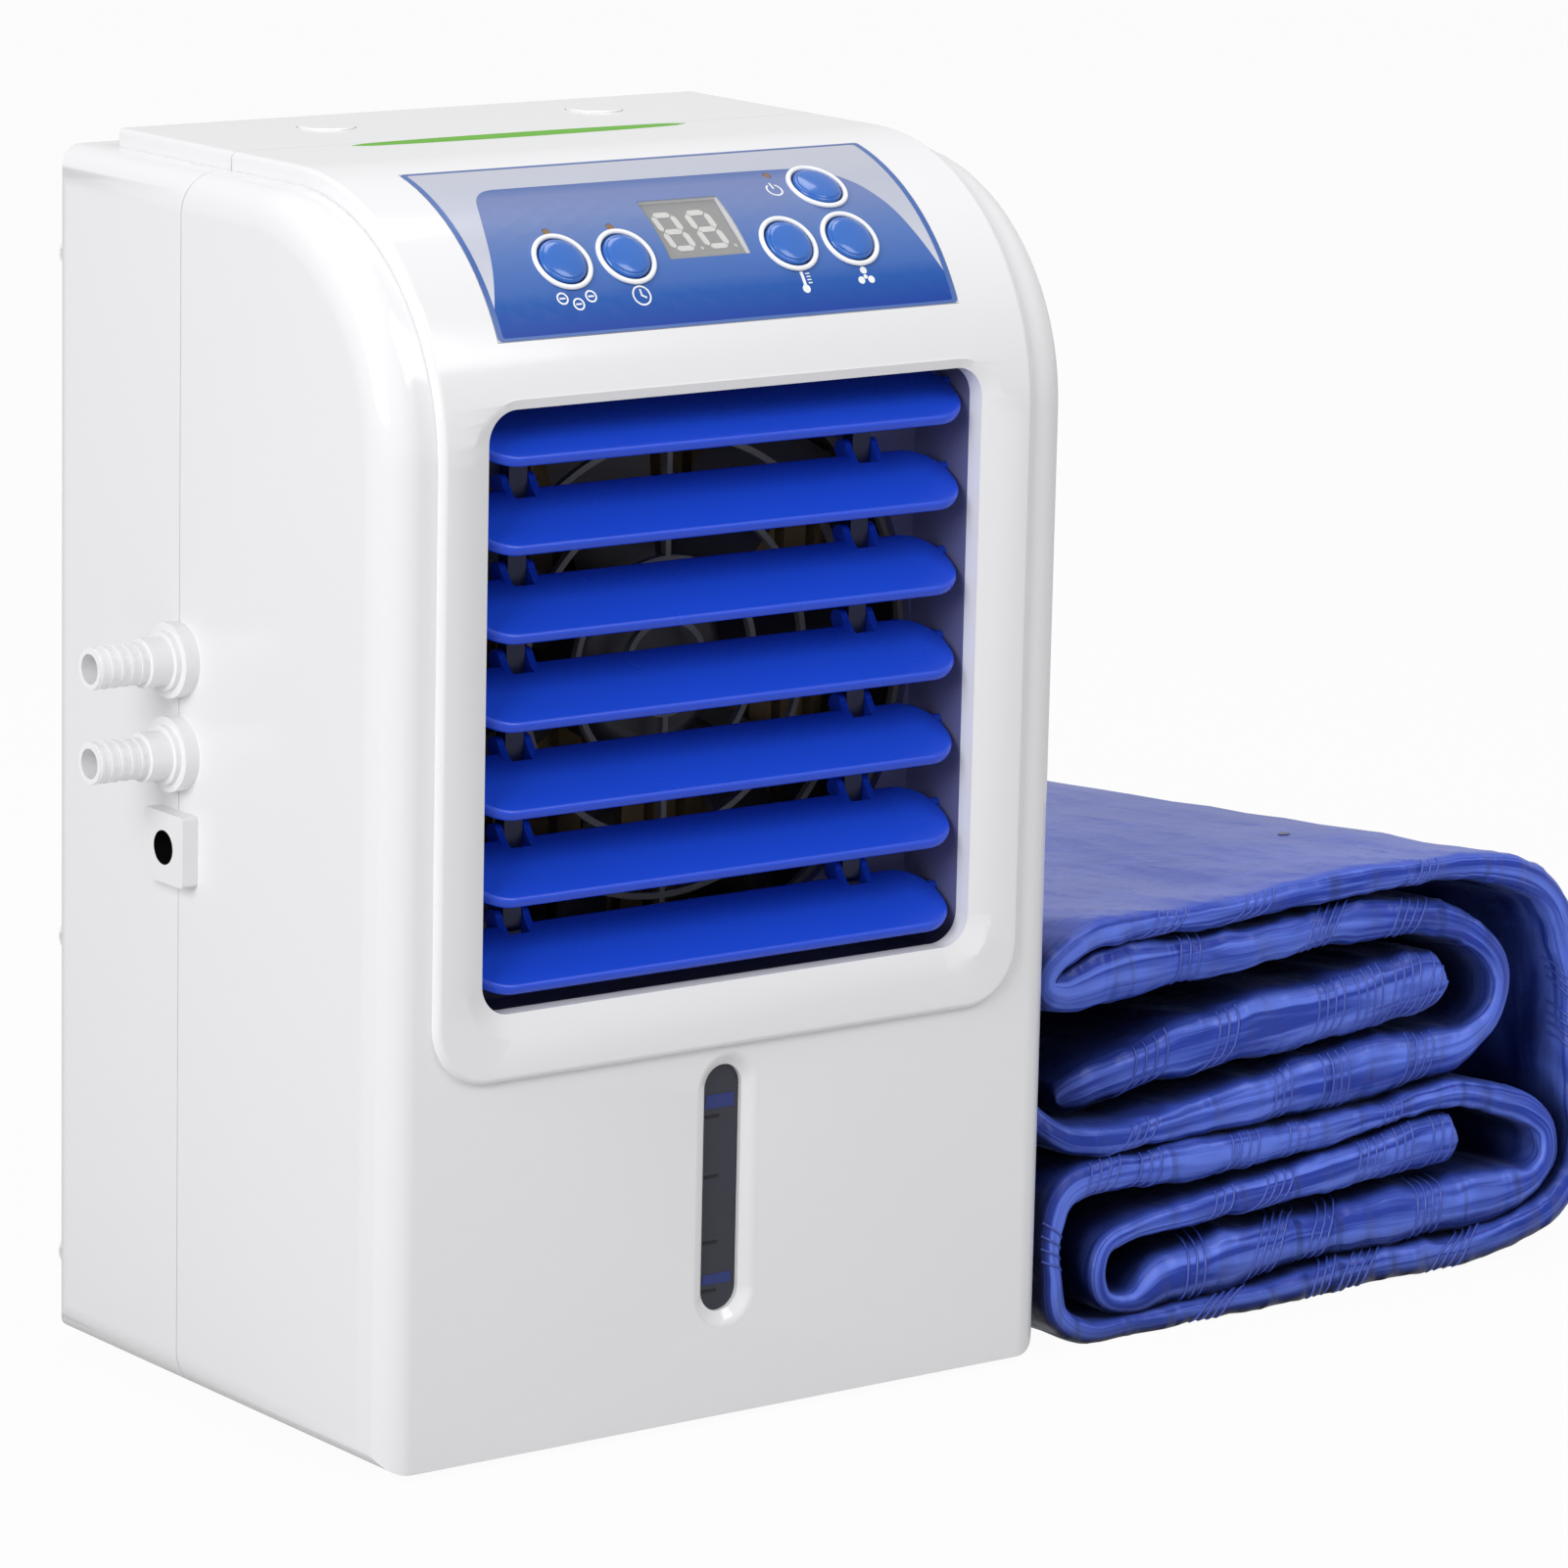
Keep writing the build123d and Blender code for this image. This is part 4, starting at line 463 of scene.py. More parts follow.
def painted_light_by_height(name, stops, roughness, **sockets):
    """Printed film with painted reflection and shade: its tone changes up the curve, as a soft
    reflection does on the real one.
    """
    material = moulded(name, stops[0][1], roughness, 1.6, 0.01, 1.0, **sockets)
    tree = material.node_tree
    height = add_node(tree, "ShaderNodeSeparateXYZ", {"Vector": object_place(tree)}).outputs["Z"]
    share = ranged(tree, height, 0.0, 1.0, panel_low_z / 1000, panel_high_z / 1000)
    ramp = add_node(tree, "ShaderNodeValToRGB", {"Fac": share})
    for place, colour in stops[2:]:
        ramp.color_ramp.elements.new(place)
    for element, (place, colour) in zip(ramp.color_ramp.elements, stops):
        element.position = place
        element.color = linear(colour)
    dress(tree, {"Base Color": ramp.outputs["Color"]})
    return material


# Silver ink behind polyester: a soft metallic grey, with painted reflection darker where the curve
# turns to the sky.
silver_film = painted_light_by_height(
    "silver_polyester_film",
    [(0.0, "CDD0DC"), (0.45, "C8CBD8"), (0.8, "B4B8C8"), (1.0, "C0C3D0")],
    0.32, Metallic=0.15,
)
finished("panel_overlay", silver_film)

button_places = {
    "button_ion": (-43.7, 43.2),
    "button_timer": (-24.7, 43.2),
    "button_thermostat": (24.7, 43.2),
    "button_fan_speed": (43.7, 43.2),
    "button_power": (43.7, 58.9),
}
film_half, film_low, film_high = 69.8, 25.9, 76.1
low_run, high_run = run_at(film_low), run_at(film_high)
button_hole, lamp_hole = 6.85, 1.15
button_holes = [disc(x, run_at(angle), button_hole, 48) for x, angle in button_places.values()]
lamp_places = [(-43.7, 51.4), (-24.7, 51.4), (32.0, 64.2)]
lamp_holes = [disc(x, run_at(angle), lamp_hole, 16) for x, angle in lamp_places]
display_angle, display_half, display_rise = 50.0, 12.2, 9.7
display_hole = [
    (i * display_half, run_at(display_angle) + k * display_rise)
    for i, k in corner_signs
]


longest_rounding = 0.45


def eased(corners, steps=8):
    """Outline with its corners rounded: each corner is (x, run, radius)."""
    points = []
    for i, (x, y, radius) in enumerate(corners):
        here = Vector((x, y))
        before = Vector(corners[i - 1][:2]) - here
        after = Vector(corners[(i + 1) % len(corners)][:2]) - here
        reach = min(radius, before.length * longest_rounding, after.length * longest_rounding)
        if reach <= 0:
            points.append((x, y))
            continue
        start, end = here + before.normalized() * reach, here + after.normalized() * reach
        for k in range(steps + 1):
            t = k / steps
            spot = start * (1 - t) ** 2 + here * 2 * t * (1 - t) + end * t * t
            points.append((spot.x, spot.y))
    return points


field_edge = eased([
    (-69.2, low_run + 0.5, 0), (69.2, low_run + 0.5, 0),
    (69.0, run_at(31.5), 0), (67.2, run_at(36.0), 4), (64.6, run_at(43.0), 6),
    (61.6, run_at(51.5), 6), (56.0, run_at(60.0), 7), (46.0, run_at(66.0), 9),
    (30.0, run_at(66.4), 6), (-55.5, run_at(66.4), 11),
    (-60.5, run_at(54.5), 8), (-64.5, run_at(42.0), 6), (-69.0, run_at(31.5), 0),
])
# Blue screen ink with painted reflection and shade: deep at the bottom, with a pale band where the
# curve mirrors the room.
blue_ink = painted_light_by_height(
    "screen_ink_blue",
    [
        (0.0, "063A9E"), (0.22, "1E57AA"), (0.3, "4269B3"), (0.5, "5778B8"),
        (0.72, "6E82B5"), (0.84, "7180B2"), (0.9, "4A68A4"), (1.0, "3C5A9C"),
    ],
    0.28, Specular_IOR_Level=0.22,
)
print_on_panel(
    "blue_field", field_edge, [*button_holes, display_hole, *lamp_holes], 0.06, blue_ink
)


def film_edge(side, end, radius):
    """The film's outline, moved in by two widths, with rounded corners."""
    return eased([
        (i * (film_half - side), (low_run + end) if k < 0 else (high_run - end), radius)
        for i, k in corner_signs
    ])


border_side, border_end = 1.5, 0.8
# Border ink: the same blue, a little greyer.
border_ink = moulded("screen_ink_border", "3F66AE", 0.3, 1.6, 0.01, 0.92)
border_inner = film_edge(border_side, border_end, 1.0)
print_on_panel("blue_border", film_edge(0, 0, 1.5), [border_inner], 0.07, border_ink)

# Function signs under the buttons, white screen ink: plain signs for ions, time, heat,
# air and power, made of short strokes and rings.
white_ink = moulded("screen_ink_white", "F4F6FA", 0.35, 1.2, 0.01, 0.97)
sign_line = 0.45


def stroke(ax, ay, bx, by, width=sign_line):
    """Straight stroke of a sign, with square ends."""
    along = Vector((bx - ax, by - ay)).normalized() * width / 2
    across = Vector((-along.y, along.x))
    a, b = Vector((ax, ay)) - along, Vector((bx, by)) + along
    return [tuple(p) for p in (a - across, b - across, b + across, a + across)]


def bow(x, y, radius, start=0, sweep=359.5):
    """Arc of a sign, or a ring with the finest slit in it."""
    outer = disc(x, y, radius + sign_line / 2, 24, start, sweep)
    inner = disc(x, y, radius - sign_line / 2, 24, start, sweep)
    return outer + inner[::-1]


sign_run, power_run = run_at(33.6), run_at(58.9)
clock_x, heat_x, air_x, power_x = -24.7, 24.7, 43.7, 30.5
signs = []
for x, y in ((-47.9, sign_run + 0.9), (-43.7, sign_run - 0.9), (-39.5, sign_run + 0.9)):
    signs += [bow(x, y, 1.45), stroke(x - 0.6, y, x + 0.6, y)]
signs += [
    bow(clock_x, sign_run, 2.5),
    stroke(clock_x, sign_run, clock_x, sign_run + 1.5),
    stroke(clock_x, sign_run, clock_x + 1.1, sign_run - 0.6),
    disc(heat_x, sign_run - 1.9, 1.15),
    stroke(heat_x, sign_run - 1.6, heat_x, sign_run + 2.3, 0.9),
]
for i in range(4):
    level = sign_run - 0.4 + i * 0.85
    signs.append(stroke(heat_x + 1.3, level, heat_x + 2.2, level, 0.3))
signs += [
    disc(air_x, sign_run, 0.6),
    *(disc(x, y, 1.0) for x, y in disc(air_x, sign_run, 1.75, 3, 90)),
    bow(power_x, power_run, 2.1, 120, 300),
    stroke(power_x, power_run + 0.6, power_x, power_run + 2.6),
]
for number, outline in enumerate(signs):
    print_on_panel(f"sign_part_{number}", outline, [], 0.12, white_ink)


# Buttons. Each is a blue translucent silicone dome on a stem, in a raised white ring that is
# welded to the film round its hole.
# Clear blue gel: glossy, with light carried inside it.
button_gel = moulded(
    "blue_silicone_gel", "2E6FCB", 0.16, 3.0, 0.03, 0.8, IOR=1.43, Subsurface_Weight=0.25,
    Subsurface_Scale=0.003, Coat_Weight=0.4,
)
dome_radius, dome_rise, dome_foot = 5.7, 0.75, 0.9
dome_rings, dome_sides = 6, 40
sideways = Vector((1, 0, 0))
for button, (x, angle) in button_places.items():
    finished(button, button_gel)
    build = bmesh.new()
    out, up = directions_at(angle)
    centre = Vector((x, axis_y, axis_z)) + out * (panel_radius + dome_foot)
    rows = []
    for i in range(dome_rings):
        bend = math.pi / 2 * i / dome_rings
        reach, spot = dome_radius * math.cos(bend), centre + out * dome_rise * math.sin(bend)
        rows.append([
            build.verts.new((spot + reach * (sideways * math.cos(t) + up * math.sin(t))) / 1000)
            for t in (2 * math.pi * k / dome_sides for k in range(dome_sides))
        ])
    tip = build.verts.new((centre + out * dome_rise) / 1000)
    for lower, upper in zip(rows, [*rows[1:], [tip] * dome_sides]):
        for k in range(dome_sides):
            n = (k + 1) % dome_sides
            corners = (lower[k], lower[n], upper[n], upper[k])
            build.faces.new(corners[:3] if upper[n] is tip else corners)
    build.faces.new(rows[0][::-1])
    dome_mesh = taken(build, f"{button}_dome")
    for polygon in dome_mesh.polygons:
        polygon.use_smooth = len(polygon.vertices) < dome_sides
    place_piece(f"{button}_dome", dome_mesh, button_gel, button)


def new_growth(name, **sizes):
    """Empty geometry tree with named sizes as its inputs."""
    tree = bpy.data.node_groups.new(name, "GeometryNodeTree")
    tree.interface.new_socket("Geometry", in_out="INPUT", socket_type="NodeSocketGeometry")
    tree.interface.new_socket("Geometry", in_out="OUTPUT", socket_type="NodeSocketGeometry")
    for size in sizes:
        tree.interface.new_socket(size, in_out="INPUT", socket_type="NodeSocketFloat")
    return tree, add_node(tree, "NodeGroupInput").outputs


def grown(name, tree, source, material, body, slot, **sizes):
    """Run a geometry tree on a source mesh or curve and keep the result as a plain mesh."""
    holder = new_object(name, source)
    run = holder.modifiers.new("growth", "NODES")
    run.node_group = tree
    for item in tree.interface.items_tree:
        if item.in_out == "INPUT" and item.name in sizes:
            run[item.identifier] = sizes[item.name]
    graph = bpy.context.evaluated_depsgraph_get()
    mesh = bpy.data.meshes.new_from_object(holder.evaluated_get(graph), depsgraph=graph)
    bpy.data.objects.remove(holder)
    place_piece(name, mesh, material, body)


def triple(tree, **parts):
    """Vector of the parts X, Y and Z."""
    return add_node(tree, "ShaderNodeCombineXYZ", parts).outputs[0]


def circle(tree, corners, radius):
    """Round curve."""
    return add_node(
        tree, "GeometryNodeCurvePrimitiveCircle", {"Resolution": corners, "Radius": radius}
    ).outputs["Curve"]


def tube(tree, path, section, caps):
    """Skin of a section led along a path, with or without caps at its ends."""
    return add_node(
        tree, "GeometryNodeCurveToMesh",
        {"Curve": path, "Profile Curve": section, "Fill Caps": caps},
    ).outputs["Mesh"]


def spread(tree, points, shape, **turned):
    """The shape at every point."""
    return add_node(
        tree, "GeometryNodeInstanceOnPoints", {"Points": points, "Instance": shape, **turned}
    ).outputs[0]


def finish_growth(tree, geometry, material, smooth=True):
    """End a geometry tree: plain pieces, shaded smooth or flat, in their material."""
    real = add_node(tree, "GeometryNodeRealizeInstances", {"Geometry": geometry}).outputs[0]
    if smooth:
        real = add_node(tree, "GeometryNodeSetShadeSmooth", {"Geometry": real}).outputs[0]
    paint = add_node(tree, "GeometryNodeSetMaterial", {"Geometry": real, "Material": material})
    add_node(tree, "NodeGroupOutput", {"Geometry": paint.outputs[0]})


ring_sizes = {"Radius": 0.0076, "Width": 0.0007, "Height": 0.0006}
ring_tree, ring_in = new_growth("button_ring_growth", **ring_sizes)
ring_oval = add_node(
    ring_tree, "GeometryNodeTransform",
    {
        "Geometry": circle(ring_tree, 12, 1.0),
        "Scale": triple(ring_tree, X=ring_in["Width"], Y=ring_in["Height"], Z=1.0),
    },
)
ring_tube = tube(ring_tree, circle(ring_tree, 64, ring_in["Radius"]), ring_oval.outputs[0], False)
ring_lean = add_node(
    ring_tree, "GeometryNodeInputNamedAttribute", {"Name": "lean"}, data_type="FLOAT"
)
ring_turn = triple(ring_tree, X=ring_lean.outputs["Attribute"])
# White ABS of the rings: bright and glossy against the ink.
ring_abs = moulded("gloss_abs_ring", "F6F7F9", 0.22, 3.0, 0.01, 0.97)
finish_growth(
    ring_tree, spread(ring_tree, ring_in["Geometry"], ring_tube, Rotation=ring_turn), ring_abs
)
ring_points = bpy.data.meshes.new("button_ring_places")
ring_points.from_pydata(
    [on_panel(x, run_at(angle), 0.1) for x, angle in button_places.values()], [], []
)
lean_data = ring_points.attributes.new("lean", "FLOAT", "POINT")
for place, (x, angle) in zip(lean_data.data, button_places.values()):
    place.value = math.radians(90 - angle)
grown("button_rings", ring_tree, ring_points, ring_abs, "unit", "panel_film", **ring_sizes)


# Display. Two seven segment digits with their points stand on a grey potted face behind a clear
# acrylic window; unlit, they show as pale bars. Small amber lamps sit above three buttons.
# Epoxy face: matt mid grey.
module_grey = moulded("potted_epoxy_grey", "636465", 0.5, 0.6, 0.02, 0.93)
finished("display_module", module_grey)
# Segments: milky diffusing epoxy.
segment_milk = moulded("milky_epoxy", "D0D0CC", 0.4, 0.6, 0.01, 0.97)
segment_build = bmesh.new()
display_out, display_up = directions_at(display_angle)
module_drop = 1.9
module_face = Vector((0, axis_y, axis_z)) + display_out * (panel_radius - module_drop)
digit_slant = 0.13
bar_gap, bar_low, bar_high = 0.25, 0.02, 0.22


def on_module(x, y, height):
    """Point over the display's face, leaning as the digits do."""
    spot = module_face + sideways * (x - digit_slant * y) + display_up * y
    return (spot + display_out * height) / 1000


def segment(ax, ay, bx, by, half=0.85):
    """One bar of a digit, a long hexagon."""
    along = Vector((bx - ax, by - ay)).normalized()
    across = Vector((-along.y, along.x)) * half
    a, b = Vector((ax, ay)) + along * bar_gap, Vector((bx, by)) - along * bar_gap
    end = along * half
    flat = [a, a + end - across, b - end - across, b, b - end + across, a + end + across]
    add_plate(segment_build, flat, bar_low, bar_high, on_module)


digit_half, digit_rise = 2.9, 5.6
for digit_x in (-5.6, 4.6):
    left, right = digit_x - digit_half, digit_x + digit_half
    for y in (-digit_rise, 0, digit_rise):
        segment(left, y, right, y)
    for x in (left, right):
        segment(x, -digit_rise, x, 0)
        segment(x, 0, x, digit_rise)
    segment(right + 1.2, -digit_rise - 0.3, right + 2.7, -digit_rise - 0.3, 0.6)
segment_mesh = taken(segment_build, "display_segments")
place_piece("display_segments", segment_mesh, segment_milk, "unit")
# Acrylic window: water clear, seen by its reflections only.
window_acrylic = moulded("clear_acrylic", "FFFFFF", 0.05, 8.0, 0.01, 1.0, IOR=1.49, Alpha=0.12)
finished("display_window", window_acrylic)
# Lamp bodies: amber epoxy, dark when off.
finished("indicator_lamps", moulded("amber_epoxy", "8A6440", 0.25, 1.0, 0.01, 0.85))


# Louvres. Seven royal blue polypropylene blades turn on end pins in the frame, and two tie bars
# clip into ears behind them. The frame is the short duct round them, its white painted grey blue
# as shade and as the blue reflection of the blades.
# Polypropylene: a waxy half gloss that lights up along the rounded edges.
louver_blue = moulded("royal_blue_polypropylene", "1F4FE0", 0.27, 2.2, 0.02, 0.88, IOR=1.49)
for number in range(1, 8):
    finished(f"louver_{number}", louver_blue)
# Tie bars: the same plastic in midnight blue, which keeps them out of sight between the blades.
tie_blue = moulded("midnight_blue_polypropylene", "0E1C4A", 0.4, 2.2, 0.02, 0.86, IOR=1.49)
for bar in ("tie_bar_left", "tie_bar_right"):
    finished(bar, tie_blue)
# Painted shade and reflection: the duct is coloured grey blue, not its own white.
finished("louver_frame", moulded("duct_abs_painted_shade", "6A6C92", 0.38, 1.4, 0.03, 0.85))


# Fan behind the louvres: a light wire guard, a black frame with its motor, and a smoky rotor.
# Guard: nickel grey wire, half gloss.
finished("fan_guard", moulded("coated_wire_grey", "77766F", 0.35, 0.9, 0.02, 0.8))
# Frame and rotor: black glass filled nylon, matt with a fine grain.
finished("fan_frame", moulded("black_glass_nylon", "2C2C2B", 0.5, 0.7, 0.03, 0.8))
finished("fan_rotor", moulded("smoke_nylon", "3B3A38", 0.42, 0.9, 0.02, 0.8))


# Water level window: a smoked acrylic lens in a bevelled slot, printed with two blue bands and
# four short dark marks.
# Smoked acrylic: deep grey, glossy.
smoked_lens = moulded("smoked_acrylic", "3B3B47", 0.16, 6.0, 0.01, 0.85, IOR=1.45)
finished("window_lens", smoked_lens)
lens_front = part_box("window_lens")[0].y * 1000
mark_blue = moulded("blue_level_band", "28377A", 0.35, 1.0, 0.01, 0.9)
mark_dark = moulded("dark_level_marks", "101016", 0.4, 1.0, 0.01, 0.95)


def on_lens(x, z, height):
    """Point on the front of the level window."""
    return (x / 1000, (lens_front - height) / 1000, z / 1000)


for band_name, band_low, band_high in (
    ("upper_level_band", 81.0, 84.6), ("lower_level_band", 35.3, 38.0),
):
    band_outline = [(-4.6, band_low), (4.6, band_low), (4.2, band_high), (-4.2, band_high)]
    band_mesh = plate(band_name, band_outline, 0.12, on_lens)
    place_piece(band_name, band_mesh, mark_blue, "unit")
tick_sizes = {"Width": 0.0042, "Height": 0.0006, "Proud": 0.0003}
tick_tree, tick_in = new_growth("level_tick_growth", **tick_sizes)
tick_size = triple(tick_tree, X=tick_in["Width"], Y=tick_in["Proud"], Z=tick_in["Height"])
tick_shape = add_node(tick_tree, "GeometryNodeMeshCube", {"Size": tick_size}).outputs["Mesh"]
finish_growth(
    tick_tree, spread(tick_tree, tick_in["Geometry"], tick_shape), mark_dark, smooth=False
)
tick_points = bpy.data.meshes.new("level_tick_places")
tick_points.from_pydata([on_lens(-2.2, z, 0.1) for z in (33.7, 46.3, 63.4, 79.0)], [], [])
grown("level_ticks", tick_tree, tick_points, mark_dark, "unit", "lens_smoked", **tick_sizes)


# Hose fittings, power inlet, feet and plugs: small moulded parts pushed or screwed into the
# casing. The fittings are white acetal with ridges that hold the hoses.
acetal_white = moulded("white_acetal", "F3F3F5", 0.33, 1.5, 0.02, 0.95, IOR=1.48)
for fitting in ("supply_fitting", "return_fitting", "fitting_nuts"):
    finished(fitting, acetal_white)
inlet_nylon = moulded("white_nylon", "EFEFF1", 0.4, 1.2, 0.02, 0.94)
inlet = finished("power_inlet", inlet_nylon)
# Socket recess: its faces round the pin, behind the front, are painted near black as the shade in
# the hole.
inlet.data.materials.append(moulded("socket_recess_shade", "0C0C0E", 0.35, 0.8, 0.01, 0.85))
inlet_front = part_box("power_inlet")[0].x
pin_low, pin_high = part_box("inlet_pin")
pin_axis = (pin_low + pin_high) / 2
socket_radius, socket_edge = 0.0046, 0.0002
for polygon in inlet.data.polygons:
    away = polygon.center - pin_axis
    behind_front = polygon.center.x > inlet_front + socket_edge
    if math.hypot(away.y, away.z) < socket_radius and behind_front:
        polygon.material_index = 1
pin_nickel = moulded("nickel_plate", "C9C6BE", 0.22, 0.8, 0.005, 0.95, Metallic=1.0)
finished("inlet_pin", pin_nickel)
finished("feet", moulded("grey_rubber", "4A4A4C", 0.75, 0.8, 0.04, 0.85))
finished("top_plugs", abs_white)


# Inside: tank, cover, chute, pump, hoses, curtain, boards and wires, seen through the openings
# and in other poses.
# Tank: natural polypropylene, cloudy and slightly soft to the eye.
tank_plastic = moulded(
    "natural_polypropylene", "DADEE0", 0.42, 4.0, 0.05, 0.93, Subsurface_Weight=0.1
)
silicone_hose = moulded("milky_silicone", "D5D9DA", 0.3, 3.0, 0.02, 0.92, Subsurface_Weight=0.2)
screw_steel = moulded("zinc_plated_steel", "B9BBBD", 0.3, 0.5, 0.01, 0.93, Metallic=1.0)
inner_pieces = [
    ("water_tank tank_cover fill_chute", "tank_plastic", tank_plastic),
    (
        "pump_body pump_cover", "pump_grey",
        moulded("dark_grey_abs", "55585C", 0.45, 1.0, 0.03, 0.85),
    ),
    ("pump_impeller", "pump_grey", moulded("white_polyester", "D8D8D4", 0.4, 1.0, 0.02, 0.93)),
    ("supply_hose return_hose", "hose_clear", silicone_hose),
    ("curtain_frame", "inner_white", moulded("white_polystyrene", "E3E4E4", 0.4, 1.6, 0.02, 0.94)),
    ("wet_curtain", "curtain_paper", moulded("corrugated_paper", "9C8358", 0.85, 0.7, 0.08, 0.75)),
    (
        "panel_board main_board", "board_green",
        moulded("green_solder_mask", "1F6B43", 0.3, 0.9, 0.02, 0.85),
    ),
    (
        "tact_switches board_parts ion_generator", "chip_black",
        moulded("black_epoxy", "202022", 0.45, 0.6, 0.02, 0.85),
    ),
    ("wiring", "wire_red", moulded("red_pvc_lead", "B22A22", 0.4, 1.2, 0.01, 0.9)),
    ("fan_screws board_screws shell_screws", "screw_steel", screw_steel),
]
for pieces, slot, material in inner_pieces:
    for piece in pieces.split():
        finished(piece, material)


# Back: a slatted grille that swings down, with the dust filter snapped into it, and the small
# door of the filling mouth. Both are the casing's white ABS; the filter is a dark nylon net.
finished("rear_grille", abs_white)
finished("fill_door", abs_white)
finished("dust_filter", moulded("grey_nylon_net", "3F4347", 0.6, 0.9, 0.05, 0.8))


# Mattress pad. A long quilted strip of satin coated cloth, welded at its edge and along its water
# channels, is folded over itself many times, and the last turns wrap round the bundle.
# Each place on the way of the strip is (x, z, half thickness) in mm, from the inner end outwards.
pad_ways = [
    [
        (253, 36.2, 7), (246, 36.2, 7.6), (219, 34.2, 5.8), (192, 31.9, 4.5),
        (156, 29.2, 3.6), (138, 27.4, 2.6), (129.5, 24, 2.4), (127, 17, 2.4),
        (129.5, 10.6, 2.4), (137, 8.6, 3), (148, 11.8, 6), (163, 13.6, 7.8),
        (186, 15.4, 7.3), (211, 16.9, 6.3), (234, 17.6, 7.2), (256, 17.9, 6.9),
        (271, 18.6, 5.6), (281.5, 21, 3.7), (287.2, 27, 3.2), (287, 34, 3.2),
        (281, 40, 3.3), (270, 44.3, 3.4), (255, 48.4, 3.5), (243, 47.9, 3.4),
        (218, 45, 3.6), (205, 44, 4.2), (179, 43.2, 4.9), (150, 42.7, 5.2),
        (130, 42.6, 5), (117.5, 39.4, 4), (112.2, 31, 3.3), (110.9, 20, 3.1),
        (112.4, 9, 3), (120, 3.4, 2.8), (138, 2.8, 2.7), (160, 3, 2.9),
        (184, 3.6, 3.4), (211, 4.8, 4.2), (234, 5.2, 4.3), (258, 6.1, 4),
        (276, 9, 4.1), (290, 13.4, 4.2), (298, 21, 4), (300.6, 33, 3.9),
        (300.2, 55, 3.8), (298.2, 76, 3.8), (294, 91, 3.8), (286.5, 101.5, 3.7),
        (274, 108, 3.6), (256, 111.2, 3.5), (232, 112, 3.4), (205, 111, 3.4),
        (171, 108.8, 3.4), (140, 108.6, 3.4), (124, 107, 3.4), (113.5, 102, 3.2),
        (111, 96.5, 3.3), (117, 94, 5), (132, 96.4, 7), (154, 97.2, 6.8),
        (184, 98.3, 4.7), (210, 100.3, 5.3), (234, 99.6, 5.2), (249, 97.4, 4.4),
        (259, 93.4, 3.7), (266.5, 86.8, 3), (270.4, 79, 2.5), (269.4, 71, 2.6),
        (264, 64.4, 3.6), (256, 60.6, 5.6), (240, 59.8, 7.6), (222, 58.8, 8),
        (203, 57.4, 7.6), (180, 55.4, 6), (155, 53.4, 4.4), (135, 52, 3.5),
        (121, 53.4, 3), (113, 60, 2.9), (110.3, 70, 2.8), (109.9, 79, 2.5),
        (110.8, 87, 2.2),
    ],
    [
        (249, 80.6, 8), (240, 80.2, 8.9), (222, 78.8, 8.8), (200, 76.8, 8.6),
        (178, 75.2, 8.2), (158, 71.8, 7.4), (140, 66.4, 5.6), (124, 60.4, 3.2),
    ],
]
pad_low_y, pad_high_y = -67.0, 200.0
pad_step, way_steps = 1.7, 24
back_round, end_round = 6.0, 3.2
top_fall = 0.19
# The front edge waves, stands further out low in the bundle, and is tucked in at the strip's end.
front_wave, front_wave_run, front_ripple, front_ripple_run = 1.6, 38.0, 0.9, 11.0
low_forward, low_below = 8.0, 60.0
tuck, tuck_run = 14.0, 46.0
# The strip's thickness: full between the weld lines, dipped at them, with a round front.
fullness, weld_dip, weld_reach = 1.06, 0.16, 14.0
round_least, round_share = 1.6, 0.62
front_back_power, front_rise_power, side_power = 0.8, 0.82, 1.7
crown_high, crown_back = 0.1, 26.0
# The skin from the middle of the front (0) round to the back edge (1).
front_turn, side_turn, back_turn = 0.2, 0.7, 0.1
# Wrinkles: height, reach along the strip, reach away from the front, and slant.
pucker_high, pucker_run, pucker_back = 0.9, 24.0, 34.0
fold_high, fold_run, fold_back, fold_slant, fold_fade = 0.55, 6.5, 30.0, 0.12, 24.0
crease_high, crease_run, crease_back, crease_slant = 1.1, 15.0, 26.0, 21.0
crease_sharp, crease_floor, thin_below = 2.2, 0.5, 4.0
lowest_skin, lowest_weld = 0.05, 0.36


def smooth_way(places, step):
    """Even steps along a smooth curve through the places."""
    points = [Vector(p) for p in places]
    points = [points[0] * 2 - points[1], *points, points[-1] * 2 - points[-2]]
    fine = []
    for a, b, c, d in zip(points, points[1:], points[2:], points[3:]):
        tb = (b - a).length ** 0.5
        tc = tb + (c - b).length ** 0.5
        td = tc + (d - c).length ** 0.5
        for i in range(way_steps):
            t = tb + (tc - tb) * i / way_steps
            ab = a * ((tb - t) / tb) + b * (t / tb)
            bc = b * ((tc - t) / (tc - tb)) + c * ((t - tb) / (tc - tb))
            cd = c * ((td - t) / (td - tc)) + d * ((t - tc) / (td - tc))
            abc = ab * ((tc - t) / tc) + bc * (t / tc)
            bcd = bc * ((td - t) / (td - tb)) + cd * ((t - tb) / (td - tb))
            fine.append(abc * ((tc - t) / (tc - tb)) + bcd * ((t - tb) / (tc - tb)))
    fine.append(points[-2])
    even, left = [fine[0]], step
    for a, b in zip(fine, fine[1:]):
        gap = (b.xy - a.xy).length
        while gap >= left > 0:
            a = a.lerp(b, left / gap)
            gap = (b.xy - a.xy).length
            even.append(a)
            left = step
        left -= gap
    return even


